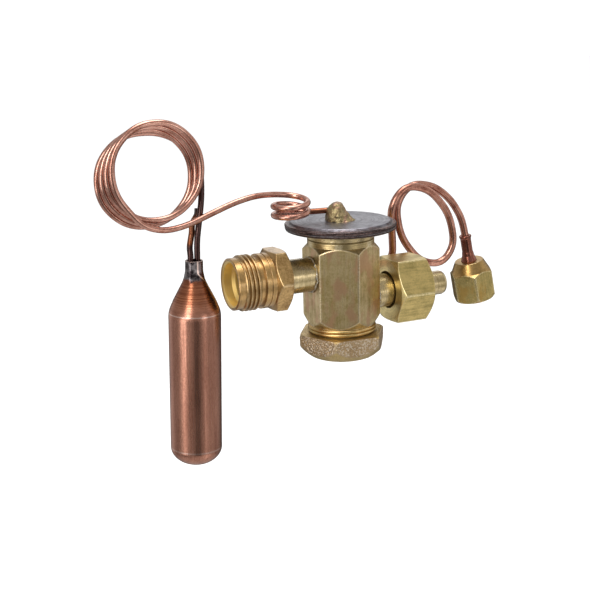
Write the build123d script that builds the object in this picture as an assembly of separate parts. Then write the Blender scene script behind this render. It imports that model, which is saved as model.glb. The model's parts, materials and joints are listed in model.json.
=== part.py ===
from build123d import *
import os
from math import cos, pi, radians, sin, sqrt, tan

os.makedirs("parts", exist_ok=True)

# A thermostatic expansion valve, in millimetres.
# It is drawn about the valve's own axis, which is vertical, with z = 0 on the inlet's axis.
# The inlet points to -X, the outlet to +X. Each piece is then moved along +X on its way
# out, so that the origin of the finished part is where the inlet's pilot land begins.

# Gaps that make the fits
home_gap = 0.02
running_gap = 0.04
thread_gap = 0.08
contact_gap = 0.05
slot_gap = 0.2
end_gap = 0.3
seam_fullness = 0.45
bend_share = 0.45

# Valve body, turned from hexagon bar
body_across_flats = 25.4
body_corner_top_z = 8.4
body_corner_bottom_z = -17.8
neck_radius = 12.6
neck_top_z = 12.4
body_bottom_z = -20.2
head_thread_radius = 9.9
head_thread_length = 3.8
head_pocket_radius = 8.9
head_pocket_depth = 1.6
outlet_drop = 10.0
port_radius = 4.0
port_seam_depth = 2.6
gallery_reach = 4.5
outlet_gallery_start = 5.5
chamber_radius = 7.7
chamber_top_z = -6.9
adjuster_thread_radius = 9.4
adjuster_thread_length = 4.0

# Power head on top of the body
head_gasket_thickness = 0.5
disc_radius = 21.0
disc_seal_width = 2.6
lower_cover_thickness = 1.3
lower_cover_underside_z = 15.85
lower_cover_rounding = 0.91
hub_rounding = 1.6
cover_dish_depth = 0.8
diaphragm_thickness = 0.25
corrugation_height = 0.35
corrugation_count = 3
seam_edge = 0.35
charge_hole_radius = 0.7
upper_cover_thickness = 1.25
plateau_margin = 1.7
plateau_rise = 0.65
lump_radius = 5.8
lump_height = 7.0
lump_lean = -1.7
lump_shares = ((0.0, 1.0), (0.3, 0.93), (0.62, 0.68), (0.86, 0.42), (1.0, 0.18))

# Inlet: a short pipe brazed into the body, with a threaded adapter on its end
pipe_radius = 6.45
pipe_wall = 1.9
inlet_reach = 44.4
mouth_radius = 9.55
mouth_rim = 0.75
mouth_chamfer = 0.6
pilot_land_radius = 7.9
pilot_land_length = 3.2
pilot_bore_radius = 6.9
pilot_bore_length = 8.0
lead_length = 2.6
thread_radius = 10.32
thread_length = 6.4
relief_radius = 9.1
relief_length = 1.6
collar_radius = 10.15
collar_length = 3.9
collar_groove_width = 0.5
collar_groove_depth = 0.35
inlet_hex_across_flats = 21.6
inlet_hex_length = 6.2
inlet_socket_depth = 5.0
seam_width = 1.5
seam_height = 0.9
screen_flange_thickness = 0.8
screen_wall = 0.35
screen_length = 15.0
screen_tip_radius = 2.2
screen_bore = 4.9

# Outlet: a pilot tail brazed into the body, with a captive union nut
nut_start_x = 19.6
nut_length = 14.8
nut_across_flats = 24.0
nut_hole_radius = 7.2
nut_end_wall = 3.2
nut_thread_radius = 9.6
nut_face_radius_start = 11.7
nut_face_radius_end = 11.5
nut_lead = 0.8
tail_flange_radius = 9.1
tail_flange_length = 2.4
pilot_radius = 4.7
pilot_reach = 44.6
pilot_bore = 3.2
pilot_edge = 1.4
pilot_edge_step = 0.42
ring_seat_gap = 3.2
ring_section = 1.8
ring_seat_radius = 4.1

# Valve port and its moving pin
seat_radius = 4.2
seat_height = 3.7
orifice_radius = 1.3
pin_taper = 30.0
pin_tip_radius = 0.3
pin_shank_radius = 1.9
carrier_gap = 1.4
carrier_radius = 7.0
carrier_thickness = 1.6
carrier_boss_radius = 3.6
carrier_boss_length = 2.2
push_pin_radius = 0.8
push_pin_offset = 5.7
buffer_radius = 8.5
buffer_thickness = 1.5
pin_stroke = 0.8

# Superheat spring and its adjuster
spring_length = 8.4
spring_mean_radius = 5.3
spring_wire = 1.2
spring_turns = 4.5
spring_seat_thickness = 2.0
spring_seat_travel = 1.2
spring_seat_key = 0.8
housing_bore_radius = 7.3
housing_floor = 1.8
stem_thread_radius = 2.9
stem_radius = 2.4
stem_collar_radius = 4.2
stem_collar_thickness = 1.0
stem_square = 3.4
stem_square_length = 2.4
flange_radius = 13.0
flange_height = 2.7
packing_radius = 5.0
packing_height = 1.6
gland_height = 2.2
gland_slot = 1.0

# Seal cap at the bottom
cap_gasket_thickness = 0.5
cap_across_flats = 30.0
cap_turned_deg = -4.5
cap_side_length = 3.0
cap_foot_radius = 11.6
cap_foot_bulge = 0.35
cap_thread_radius = 9.9
cap_wall_below = 1.6
cap_top_edge = 0.8

# Capillary tube, with a small coil beside the head and a large storage coil.
# The large coil, the bulb and the tubes near them are placed from the inlet's mouth.
capillary_radius = 1.1
small_coil_centre = (-20.2, 0.0)
small_coil_radius = 6.4
small_coil_z = 22.4
small_coil_pitch = 3.3
small_coil_tilt = 0.6
small_coil_turns = 2
large_coil_centre = (-25.4, -2.4, 44.1)
large_coil_radius = 16.5
large_coil_turns = 3.5
large_coil_drift = (-1.14, 2.4, -1.36)
points_per_turn = 8
capillary_start = [(-1.9, 2.2, 22.9), (-12.0, 5.6, 22.5)]
capillary_sweep = [
    (-24.5, 5.9, 30.3),
    (-32.0, 4.6, 30.6),
    (-40.5, 3.0, 29.3),
]
capillary_approach = [
    (-6.1, 1.1, 26.4),
    (-16.1, -0.8, 23.4),
    (-24.6, -2.0, 22.4),
    (-32.6, -2.3, 24.8),
]
capillary_drop = [
    (-20.2, 5.9, 56.0),
    (-8.0, 5.4, 45.5),
    (-8.1, 4.6, 33.0),
    (-10.0, 3.6, 23.4),
    (-11.3, 3.1, 17.0),
]

# Sensing bulb
bulb_radius = 9.525
bulb_length = 49.6
bulb_dome = 7.0
bulb_shoulder = 12.4
bulb_cone_radius = 7.72
bulb_cone_height = 5.83
bulb_neck_length = 8.0
bulb_neck_straight = 4.0
bulb_crimp_length = 4.8
bulb_neck_radius = 3.25
bulb_neck_foot_radius = 4.3
bulb_neck_wall = 0.55
bulb_neck_flat = 5.3
bulb_solder_drop = 1.6
bulb_top = (-12.8, 3.0, 9.9)
bulb_lean = 1.95
tube_spacing = 2.5
bulb_bore_depth = 7.2
bulb_tube_depth = 6.6
bulb_lead_in = 2.6
charge_lead = 2.0
charge_tube_bends = [(-13.8, 4.5, 14.2), (-12.6, 5.5, 18.0)]
charge_tube_top = (-11.1, 5.9, 23.6)
charge_pinch_way = (0.9, 0.45, 0)
charge_pinch_length = 4.6
charge_pinch_width = 3.4
charge_pinch_thickness = 1.2

# External equaliser tube, its swaged sleeve and flare nut
equaliser_radius = 1.5
equaliser_flat_deg = 60.0
equaliser_z = -3.0
equaliser_seat_depth = 2.0
equaliser_passage = 0.8
equaliser_standoff = 6.5
equaliser_rise = [(16.5, 18.4, -4.6), (25.0, 18.2, -5.2), (32.6, 17.9, -3.0), (31.6, 16.8, 6.6)]
loop_centre_x = 42.7
loop_centre_z = 10.2
loop_radius_x = 13.2
loop_radius_z = 16.0
loop_skew = 2.8
loop_start_y = 12.6
loop_pitch_y = 3.4
loop_drift_x = 4.2
loop_turns = 1.25
equaliser_fall = [(50.6, 16.5, 25.6), (58.7, 16.3, 19.0), (63.4, 16.1, 11.5)]
sleeve_top = (65.4, 16.0, 3.7)
sleeve_lean = 10.8
sleeve_radius = 2.2
sleeve_length = 7.6
sleeve_lip = 0.35
sleeve_swage_length = 3.2
sleeve_tube_radius = 3.175
sleeve_bore = 2.3
sleeve_lead = 2.4
equaliser_depth_in_sleeve = 7.0
flare_nut_across_flats = 15.875
flare_nut_length = 16.5
flare_nut_face_radius = 5.9
flare_nut_cone_length = 4.9
flare_nut_cone_radius = 7.85
flare_nut_shoulder = 6.0
flare_nut_start = 10.9
flare_nut_edge = 1.4
flare_nut_top_edge = 0.4
flare_nut_turned_deg = -112.0
flare_thread_radius = 5.1
flare_seat_depth = 20.0
flare_radius = 4.6
flare_angle = 45.0


def corner_radius(across_flats):
    """Distance from a hexagon's centre to its corners."""
    return across_flats / sqrt(3)


def turned(*profile):
    """A solid of revolution about Z from (radius, z) points."""
    return revolve(make_face(Polyline(*[(r, 0, z) for r, z in profile], close=True)), Axis.Z)


def turned_on_x(*profile):
    """A solid of revolution about X from (x, radius) points."""
    return revolve(make_face(Polyline(*[(x, r, 0) for x, r in profile], close=True)), Axis.X)


def rod_x(radius, x_start, x_end):
    """A plain cylinder on the X axis."""
    return turned_on_x((x_start, 0), (x_start, radius), (x_end, radius), (x_end, 0))


def ring_on_x(inner, outer, x_start, x_end):
    """A plain ring on the X axis."""
    return turned_on_x((x_start, inner), (x_start, outer), (x_end, outer), (x_end, inner))


def ring(inner, outer, z_low, z_high):
    """A plain ring on the Z axis."""
    return turned((inner, z_low), (outer, z_low), (outer, z_high), (inner, z_high))


def rod(radius, z_low, z_high):
    """A plain cylinder on the Z axis."""
    return turned((0, z_low), (radius, z_low), (radius, z_high), (0, z_high))


def hexagon(across_flats, low, high, plane=Plane.XY, turned_by=0.0):
    """A hexagonal prism, with a corner on the plane's first axis before it is turned."""
    outline = RegularPolygon(corner_radius(across_flats), 6, rotation=turned_by)
    return extrude(plane.offset(low) * outline, high - low)


def chamfered_hex_x(across_flats, x_start, x_end, face_start, face_end):
    """A hexagon on the X axis whose corners run down at 30 degrees to round end faces."""
    corner = corner_radius(across_flats)
    slope = tan(radians(30))
    blank = turned_on_x(
        (x_start, 0),
        (x_start, face_start),
        (x_start + (corner - face_start) * slope, corner),
        (x_end - (corner - face_end) * slope, corner),
        (x_end, face_end),
        (x_end, 0),
    )
    return hexagon(across_flats, x_start, x_end, Plane.YZ) & blank


def bent_path(points):
    """Straight runs joined by tangent arcs, each as large as its two runs allow."""
    corners = [Vector(*p) for p in points]
    radii = []
    for before, here, after in zip(corners, corners[1:], corners[2:]):
        half_turn = radians((here - before).get_angle(after - here)) / 2
        shorter = min((here - before).length, (after - here).length)
        radii.append(bend_share * shorter / tan(half_turn))
    return FilletPolyline(*corners, radius=radii)


def tube_along(points, radius):
    """A round tube that follows a bent path."""
    path = bent_path(points)
    start = Plane(origin=path @ 0, z_dir=path % 0)
    return sweep(start * Circle(radius), path=path)


def save(node, solid):
    """Moves a piece from the valve's axis to the part's origin and writes it."""
    placed = Location((inlet_reach, 0, 0)) * solid
    placed.label = node
    export_step(placed, f"parts/{node}.step")


# Places that several pieces share
body_face_x = body_across_flats / 2
body_corner = corner_radius(body_across_flats)
neck_chamfer = body_corner - neck_radius
body_top_z = neck_top_z + head_thread_length
pocket_floor_z = body_top_z - head_pocket_depth
adjuster_face_z = body_bottom_z + adjuster_thread_length
seat_top_z = chamber_top_z + seat_height
port_depth_x = body_face_x - port_seam_depth
equaliser_way = Vector(cos(radians(equaliser_flat_deg)), sin(radians(equaliser_flat_deg)), 0)
equaliser_face = equaliser_way * body_face_x + Vector(0, 0, equaliser_z)
passage_radius = head_pocket_radius - 2 * equaliser_passage

cover_top_z = lower_cover_underside_z + lower_cover_thickness
diaphragm_top_z = cover_top_z + diaphragm_thickness
rim_top_z = diaphragm_top_z + upper_cover_thickness
plateau_z = rim_top_z + plateau_rise
dish_radius = disc_radius - disc_seal_width
plateau_radius = disc_radius - plateau_margin
buffer_top_z = cover_top_z - contact_gap
buffer_bottom_z = buffer_top_z - buffer_thickness

carrier_top_z = chamber_top_z - carrier_gap
carrier_bottom_z = carrier_top_z - carrier_thickness
spring_foot_z = carrier_bottom_z - spring_length
spring_seat_bottom_z = spring_foot_z - spring_seat_thickness
stem_collar_top_z = spring_seat_bottom_z - spring_seat_travel - end_gap
housing_floor_z = stem_collar_top_z - stem_collar_thickness
packing_top_z = housing_floor_z - housing_floor
gland_top_z = packing_top_z - packing_height
housing_bottom_z = gland_top_z - gland_height
flange_bottom_z = body_bottom_z - flange_height
cap_top_z = flange_bottom_z - cap_gasket_thickness
cap_pocket_z = housing_bottom_z - end_gap
cap_floor_z = cap_pocket_z - stem_square_length
cap_bottom_z = cap_floor_z - cap_wall_below

pipe_bore = pipe_radius - pipe_wall
nut_end_x = nut_start_x + nut_length
tail_flange_x = nut_start_x + nut_end_wall + contact_gap
ring_seat_x = tail_flange_x + tail_flange_length + ring_seat_gap
adapter_hex_x = lead_length + thread_length + relief_length + collar_length
adapter_hex_x -= inlet_reach + mouth_chamfer
adapter_end_x = adapter_hex_x + inlet_hex_length


def valve_body():
    """Hexagon bar turned down at both ends, bored for the two ports and the mechanism."""
    outline = turned(
        (0, body_bottom_z),
        (neck_radius, body_bottom_z),
        (neck_radius, body_corner_bottom_z - neck_chamfer),
        (body_corner, body_corner_bottom_z),
        (body_corner, body_corner_top_z),
        (neck_radius, body_corner_top_z + neck_chamfer),
        (neck_radius, neck_top_z),
        (head_thread_radius, neck_top_z),
        (head_thread_radius, body_top_z),
        (0, body_top_z),
    )
    bar = hexagon(body_across_flats, body_bottom_z, body_top_z, turned_by=30)
    solid = bar & outline
    solid -= rod(head_pocket_radius, pocket_floor_z, body_top_z)
    solid -= rod(chamber_radius, adjuster_face_z, chamber_top_z)
    solid -= rod(adjuster_thread_radius, body_bottom_z, adjuster_face_z)
    solid -= rod(seat_radius, chamber_top_z, seat_top_z)
    solid -= rod_x(port_radius, -port_depth_x, gallery_reach)
    solid -= rod_x(pipe_radius, -body_face_x, -port_depth_x)
    outlet = Location((0, 0, -outlet_drop))
    solid -= outlet * rod_x(port_radius, outlet_gallery_start, port_depth_x)
    solid -= outlet * rod_x(pipe_radius, port_depth_x, body_face_x)
    push_hole = rod(push_pin_radius + running_gap, chamber_top_z, pocket_floor_z)
    for side in (-1, 1):
        solid -= Location((0, side * push_pin_offset, 0)) * push_hole
    cross_way = rod(equaliser_passage, passage_radius - body_face_x, 0)
    cross_way += rod(equaliser_radius, -equaliser_seat_depth, 0)
    solid -= Plane(origin=equaliser_face, z_dir=equaliser_way) * cross_way
    riser = rod(equaliser_passage, equaliser_z, pocket_floor_z)
    return solid - Location(equaliser_way * passage_radius) * riser


def valve_seat():
    """Orifice bush pressed up into the body, chamfered on its outflow side."""
    return ring(orifice_radius, seat_radius - home_gap, chamber_top_z, seat_top_z)


def valve_pin():
    """Needle that closes the orifice from below, shrunk into the carrier."""
    slope = tan(radians(pin_taper))
    mouth = orifice_radius - running_gap
    tip_z = chamber_top_z + (mouth - pin_tip_radius) / slope
    shoulder_z = chamber_top_z - (pin_shank_radius - mouth) / slope
    return turned(
        (0, carrier_bottom_z),
        (pin_shank_radius, carrier_bottom_z),
        (pin_shank_radius, shoulder_z),
        (pin_tip_radius, tip_z),
        (0, tip_z),
    )


def pin_carrier():
    """Plate that the push pins bear on, with a boss that centres the spring."""
    boss_z = carrier_bottom_z - carrier_boss_length
    plate = rod(carrier_radius, carrier_bottom_z, carrier_top_z)
    plate += rod(carrier_boss_radius, boss_z, carrier_bottom_z)
    return plate - rod(pin_shank_radius + home_gap, carrier_bottom_z, carrier_top_z)


def push_pin(side):
    """Long pin that carries the diaphragm's push past the port to the carrier."""
    pin = rod(push_pin_radius, carrier_top_z, buffer_bottom_z)
    return Location((0, side * push_pin_offset, 0)) * pin


def buffer_plate():
    """Stiff plate under the diaphragm, with a rounded rim."""
    plate = rod(buffer_radius, buffer_bottom_z, buffer_top_z)
    return fillet(plate.edges().group_by(Axis.Z)[-1], buffer_thickness / 4)


def superheat_spring():
    """Compression spring with its end coils ground flat against its two seats."""
    free = spring_length - spring_wire
    coil = Helix(free / spring_turns, free, spring_mean_radius)
    coil = Location((0, 0, spring_foot_z + spring_wire / 2)) * coil
    start = Plane(origin=coil @ 0, z_dir=coil % 0)
    return sweep(start * Circle(spring_wire / 2), path=coil, is_frenet=True)


def spring_seat():
    """Nut on the stem that carries the spring's foot, keyed so that it can't turn."""
    radius = housing_bore_radius - contact_gap
    disc = ring(stem_thread_radius + thread_gap, radius, spring_seat_bottom_z, spring_foot_z)
    return disc - key_slot(spring_seat_key + contact_gap)


def key_slot(depth):
    """The bar that the housing's key fills, from its bore inward."""
    height = housing_floor_z - adjuster_face_z
    bar = Box(2 * depth, 2 * depth, abs(height), align=(Align.CENTER, Align.CENTER, Align.MIN))
    return Location((0, housing_bore_radius, housing_floor_z)) * bar


def adjuster_housing():
    """Screwed-in lower housing: flange with two beads, spring bore, packing box and cap thread."""
    bead = flange_height / 2
    half = bead / 2
    core = turned(
        (0, housing_bottom_z),
        (cap_thread_radius, housing_bottom_z),
        (cap_thread_radius, flange_bottom_z),
        (flange_radius - half, flange_bottom_z),
        (flange_radius - half, body_bottom_z),
        (adjuster_thread_radius - home_gap, body_bottom_z),
        (adjuster_thread_radius - home_gap, adjuster_face_z),
        (0, adjuster_face_z),
    )
    for index in range(2):
        middle = flange_bottom_z + bead * (index + 0.5)
        core += Location((0, 0, middle)) * Torus(flange_radius - half, half)
    core -= rod(housing_bore_radius, housing_floor_z, adjuster_face_z)
    core += key_slot(spring_seat_key) & rod(housing_bore_radius, housing_floor_z, adjuster_face_z)
    core -= rod(stem_radius + running_gap, packing_top_z, housing_floor_z)
    return core - rod(packing_radius, housing_bottom_z, packing_top_z)


def adjusting_stem():
    """Threaded above, with a thrust collar, a shank through the packing and a square end."""
    top_z = spring_foot_z + spring_seat_travel + slot_gap
    square_z = housing_bottom_z - stem_square_length
    stem = turned(
        (0, housing_bottom_z),
        (stem_radius, housing_bottom_z),
        (stem_radius, housing_floor_z + contact_gap),
        (stem_collar_radius, housing_floor_z + contact_gap),
        (stem_collar_radius, stem_collar_top_z),
        (stem_thread_radius, stem_collar_top_z),
        (stem_thread_radius, top_z),
        (0, top_z),
    )
    square = Box(
        stem_square, stem_square, stem_square_length, align=(Align.CENTER, Align.CENTER, Align.MIN)
    )
    return stem + Location((0, 0, square_z)) * square


def stem_packing():
    """Soft ring squeezed round the stem."""
    inner = stem_radius + running_gap
    return ring(inner, packing_radius - home_gap, gland_top_z, packing_top_z)


def packing_gland():
    """Slotted screw that squeezes the packing."""
    inner = stem_radius + running_gap
    gland = ring(inner, packing_radius - home_gap, housing_bottom_z, gland_top_z)
    slot = Box(
        3 * packing_radius, gland_slot, gland_slot, align=(Align.CENTER, Align.CENTER, Align.MIN)
    )
    return gland - Location((0, 0, housing_bottom_z)) * slot


def cap_gasket():
    """Soft metal seal between the housing's flange and the cap."""
    return ring(cap_thread_radius + thread_gap, flange_radius - 1, cap_top_z, flange_bottom_z)


def seal_cap():
    """Forged hexagon cap over the adjuster, its foot cut back at about 45 degrees."""
    corner = corner_radius(cap_across_flats)
    side_z = cap_top_z - cap_top_edge - cap_side_length
    middle_radius = (corner + cap_foot_radius) / 2 + cap_foot_bulge
    middle_z = (side_z + cap_bottom_z) / 2 - cap_foot_bulge
    outline = Polyline(
        (cap_foot_radius, 0, cap_bottom_z),
        (0, 0, cap_bottom_z),
        (0, 0, cap_top_z),
        (corner - cap_top_edge, 0, cap_top_z),
        (corner, 0, cap_top_z - cap_top_edge),
        (corner, 0, side_z),
    )
    outline += ThreePointArc(
        (corner, 0, side_z), (middle_radius, 0, middle_z), (cap_foot_radius, 0, cap_bottom_z)
    )
    cap = hexagon(cap_across_flats, cap_bottom_z, cap_top_z, turned_by=cap_turned_deg)
    cap &= revolve(make_face(outline), Axis.Z)
    cap -= rod(cap_thread_radius + thread_gap, cap_pocket_z, cap_top_z)
    return cap - rod(packing_radius, cap_floor_z, cap_pocket_z)


def head_gasket():
    """Thin seal between the body's shoulder and the power head."""
    top = neck_top_z + head_gasket_thickness
    return ring(head_thread_radius + home_gap, neck_radius, neck_top_z, top)


def head_lower_cover():
    """Support cup: a threaded hub that opens into a flat dish for the diaphragm."""
    inner = head_thread_radius + home_gap
    dish_floor_z = cover_top_z - cover_dish_depth
    cover = turned(
        (inner, neck_top_z + head_gasket_thickness),
        (neck_radius, neck_top_z + head_gasket_thickness),
        (neck_radius, lower_cover_underside_z),
        (disc_radius, lower_cover_underside_z),
        (disc_radius, cover_top_z),
        (dish_radius, cover_top_z),
        (dish_radius - cover_dish_depth, dish_floor_z),
        (inner, dish_floor_z),
    )
    rims = cover.edges().filter_by(GeomType.CIRCLE).sort_by(SortBy.RADIUS)
    outer = ShapeList(e for e in rims if abs(e.radius - disc_radius) < contact_gap).sort_by(Axis.Z)
    hub = ShapeList(e for e in rims if abs(e.radius - neck_radius) < contact_gap).sort_by(Axis.Z)
    cover = fillet(outer[0], lower_cover_rounding)
    return fillet(hub[-1], hub_rounding)


def diaphragm():
    """Thin plate with ring corrugations between its clamped rim and its flat middle."""
    start = buffer_radius + corrugation_height
    end = dish_radius - cover_dish_depth
    steps = corrugation_count * 4
    lower = [(0, cover_top_z)]
    for index in range(steps + 1):
        radius = start + (end - start) * index / steps
        dip = corrugation_height * (1 - cos(2 * pi * index / 4)) / 2
        lower.append((radius, cover_top_z - dip))
    lower.append((disc_radius - seam_edge, cover_top_z))
    upper = [(radius, z + diaphragm_thickness) for radius, z in reversed(lower)]
    return turned(*lower, *upper)


def head_upper_cover():
    """Pressed cover with a raised flat middle and a small charging hole."""
    skin = upper_cover_thickness
    dish_top_z = plateau_z - skin
    return turned(
        (charge_hole_radius, plateau_z),
        (charge_hole_radius, dish_top_z),
        (dish_radius - plateau_rise, dish_top_z),
        (dish_radius, diaphragm_top_z),
        (disc_radius - seam_edge, diaphragm_top_z),
        (disc_radius, diaphragm_top_z + seam_edge),
        (disc_radius, rim_top_z - seam_edge),
        (disc_radius - seam_edge, rim_top_z),
        (plateau_radius, rim_top_z),
        (plateau_radius - plateau_rise, plateau_z),
    )


def braze_lump():
    """Leaning mound of braze that joins the capillary to the head."""
    rounds = []
    for height, width in lump_shares:
        centre = (lump_lean * height, 0, plateau_z + lump_height * height)
        rounds.append(Plane(origin=centre) * Circle(lump_radius * width))
    mound = loft(rounds)
    route = capillary_route()
    entry = tube_along(route[:3], capillary_radius + home_gap)
    return mound - entry


def inlet_pipe():
    """Thick stub pipe, brazed into the body at one end and the adapter at the other."""
    start = adapter_end_x - inlet_socket_depth
    return ring_on_x(pipe_bore, pipe_radius - home_gap, start, -port_depth_x)


def braze_seam(face_x, away):
    """Fillet of braze round a pipe where it enters the body."""
    return turned_on_x(
        (face_x, pipe_radius),
        (face_x + away * seam_width, pipe_radius),
        (face_x + away * seam_width * seam_fullness, pipe_radius + seam_height * seam_fullness),
        (face_x, pipe_radius + seam_height),
    )


def inlet_adapter():
    """Threaded end with its pilot bore, two collars and a hexagon, turned from one bar."""
    face_x = -inlet_reach - mouth_chamfer
    lead_x = face_x + lead_length
    thread_x = lead_x + thread_length
    relief_x = thread_x + relief_length
    groove_x = relief_x + (collar_length - collar_groove_width) / 2
    second_x = groove_x + collar_groove_width
    outside = turned_on_x(
        (face_x, 0),
        (face_x, mouth_radius - mouth_chamfer / 2),
        (face_x + mouth_chamfer / 2, mouth_radius),
        (lead_x, mouth_radius),
        (lead_x + thread_radius - mouth_radius, thread_radius),
        (thread_x - thread_radius + relief_radius, thread_radius),
        (thread_x, relief_radius),
        (relief_x, relief_radius),
        (relief_x, collar_radius),
        (groove_x, collar_radius),
        (groove_x, collar_radius - collar_groove_depth),
        (second_x, collar_radius - collar_groove_depth),
        (second_x, collar_radius),
        (adapter_hex_x, collar_radius),
        (adapter_hex_x, 0),
    )
    head = chamfered_hex_x(
        inlet_hex_across_flats,
        adapter_hex_x,
        adapter_end_x,
        collar_radius,
        inlet_hex_across_flats / 2 - contact_gap,
    )
    land_x = -inlet_reach + pilot_land_length
    step_x = land_x + pilot_land_radius - pilot_bore_radius
    screen_x = step_x + pilot_bore_length
    cone_length = pilot_bore_radius - screen_bore
    bore = turned_on_x(
        (face_x, 0),
        (face_x, mouth_radius - mouth_rim),
        (-inlet_reach, pilot_land_radius),
        (land_x, pilot_land_radius),
        (step_x, pilot_bore_radius),
        (screen_x, pilot_bore_radius),
        (screen_x, screen_bore),
        (screen_x + cone_length, screen_bore),
        (adapter_end_x, screen_bore),
        (adapter_end_x, 0),
    )
    socket = rod_x(pipe_radius, adapter_end_x - inlet_socket_depth, adapter_end_x)
    return outside + head - bore - socket


def inlet_screen():
    """Conical strainer with a flange that rests on the step inside the adapter."""
    flange_x = -inlet_reach + pilot_land_length + pilot_land_radius - pilot_bore_radius
    flange_x += pilot_bore_length
    neck = screen_bore - contact_gap
    tip_x = flange_x + screen_length
    return turned_on_x(
        (flange_x - screen_flange_thickness, neck - screen_wall),
        (flange_x - screen_flange_thickness, pilot_bore_radius - contact_gap),
        (flange_x, pilot_bore_radius - contact_gap),
        (flange_x, neck),
        (tip_x, screen_tip_radius),
        (tip_x, 0),
        (tip_x - screen_wall, 0),
        (tip_x - screen_wall, screen_tip_radius - screen_wall),
        (flange_x, neck - screen_wall),
    )


def outlet_tail():
    """Pipe stub with a flange that the union nut pulls on and a long pilot with a ring groove."""
    flange_end_x = tail_flange_x + tail_flange_length
    tail = turned_on_x(
        (port_depth_x, pilot_bore),
        (port_depth_x, pipe_radius - home_gap),
        (tail_flange_x, pipe_radius - home_gap),
        (tail_flange_x, tail_flange_radius),
        (flange_end_x, tail_flange_radius),
        (flange_end_x + tail_flange_radius - pilot_land_radius, pilot_land_radius - contact_gap),
        (ring_seat_x, pilot_land_radius - contact_gap),
        (ring_seat_x, ring_seat_radius),
        (ring_seat_x + ring_section + contact_gap, ring_seat_radius),
        (ring_seat_x + ring_section + contact_gap, pilot_radius),
        (pilot_reach - pilot_edge, pilot_radius),
        (pilot_reach - pilot_edge_step, pilot_radius - pilot_edge_step),
        (pilot_reach, pilot_radius - pilot_edge),
        (pilot_reach, pilot_bore),
    )
    return Location((0, 0, -outlet_drop)) * tail


def outlet_ring():
    """Rubber sealing ring seated in the tail's groove."""
    thick = ring_section / 2
    middle = Plane(origin=(ring_seat_x + thick, 0, -outlet_drop), z_dir=(1, 0, 0))
    return middle * Torus(ring_seat_radius + thick + contact_gap, thick)


def union_nut():
    """Captive hexagon nut that turns freely on the outlet's tail."""
    nut = chamfered_hex_x(
        nut_across_flats, nut_start_x, nut_end_x, nut_face_radius_start, nut_face_radius_end
    )
    nut -= rod_x(nut_hole_radius, nut_start_x, nut_end_x)
    nut -= rod_x(nut_thread_radius, nut_start_x + nut_end_wall, nut_end_x)
    lead = nut_thread_radius + nut_lead
    nut -= turned_on_x(
        (nut_end_x - nut_lead, 0),
        (nut_end_x - nut_lead, nut_thread_radius),
        (nut_end_x, lead),
        (nut_end_x, 0),
    )
    return Location((0, 0, -outlet_drop)) * nut


def past_inlet(point):
    """A place given from the inlet's mouth."""
    return Vector(*point) - Vector(inlet_reach, 0, 0)


def bulb_place():
    """The frame at the top of the bulb's neck, leaning as the bulb hangs."""
    return Location(past_inlet(bulb_top), (0, bulb_lean, 0))


def in_bulb(x, z):
    """A point given across and along the bulb's own axis."""
    return (bulb_place() * Location((x, 0, z))).position


def capillary_route():
    """Corners of the tube's path: lump, small coil, long sweep, large coil, bulb."""
    step = 360 / points_per_turn
    spread = 1 / cos(radians(step / 2))
    route = [Vector(*p) for p in capillary_start]
    cx, cy = small_coil_centre
    for index in range(small_coil_turns * points_per_turn):
        turn = (index + 0.5) / points_per_turn
        angle = radians(90 + 360 * turn)
        x = cx + small_coil_radius * spread * cos(angle)
        y = cy + small_coil_radius * spread * sin(angle)
        rise = small_coil_pitch * turn + small_coil_tilt * sin(angle)
        route.append(Vector(x, y, small_coil_z + rise))
    route += [Vector(*p) for p in capillary_sweep]
    route += [past_inlet(p) for p in capillary_approach]
    cx, cy, cz = past_inlet(large_coil_centre)
    dx, dy, dz = large_coil_drift
    for index in range(1, round(large_coil_turns * points_per_turn)):
        turn = (index + 0.5) / points_per_turn
        angle = radians(270 - 360 * turn)
        x = cx + dx * turn + large_coil_radius * spread * cos(angle)
        z = cz + dz * turn + large_coil_radius * spread * sin(angle)
        route.append(Vector(x, cy + dy * turn, z))
    route += [past_inlet(p) for p in capillary_drop]
    half = tube_spacing / 2
    return route + [in_bulb(half, bulb_lead_in), in_bulb(half, -bulb_tube_depth)]


def capillary_tube():
    """One drawn copper tube from the head to the bulb."""
    return tube_along(capillary_route(), capillary_radius)


def sensing_bulb():
    """Drawn copper bulb: domed foot, round shoulder and a neck crimped flat round two tubes."""
    shoulder_z = -bulb_neck_length - bulb_shoulder
    foot_z = shoulder_z - bulb_length
    tip_z = foot_z - bulb_dome
    bulge = (bulb_radius * cos(radians(45)), 0, foot_z - bulb_dome * sin(radians(45)))
    flare = (bulb_neck_radius, 0, -bulb_neck_straight)
    curve = Spline(
        flare,
        (bulb_neck_foot_radius, 0, -bulb_neck_length),
        (bulb_cone_radius, 0, shoulder_z + bulb_cone_height),
        (bulb_radius, 0, shoulder_z),
        tangents=((0, 0, -1), (0, 0, -1)),
    )
    outline = Polyline((0, 0, tip_z), (0, 0, 0), (bulb_neck_radius, 0, 0), flare) + curve
    outline += Line((bulb_radius, 0, shoulder_z), (bulb_radius, 0, foot_z))
    outline += Spline(
        (bulb_radius, 0, foot_z), bulge, (0, 0, tip_z), tangents=((0, 0, -1), (-1, 0, 0))
    )
    shell = revolve(make_face(outline), Axis.Z)
    shell -= bulb_neck_outside() - neck_slab(bulb_neck_flat / 2)
    shell -= bulb_neck_bore()
    return bulb_place() * shell


def bulb_neck_outside():
    """The round space that the crimped neck is squeezed from."""
    return rod(2 * bulb_neck_foot_radius, -bulb_crimp_length, contact_gap)


def neck_slab(half_thickness):
    """The flat slab that the crimped neck keeps to."""
    return Box(4 * bulb_neck_foot_radius, 2 * half_thickness, 3 * bulb_neck_length)


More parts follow.
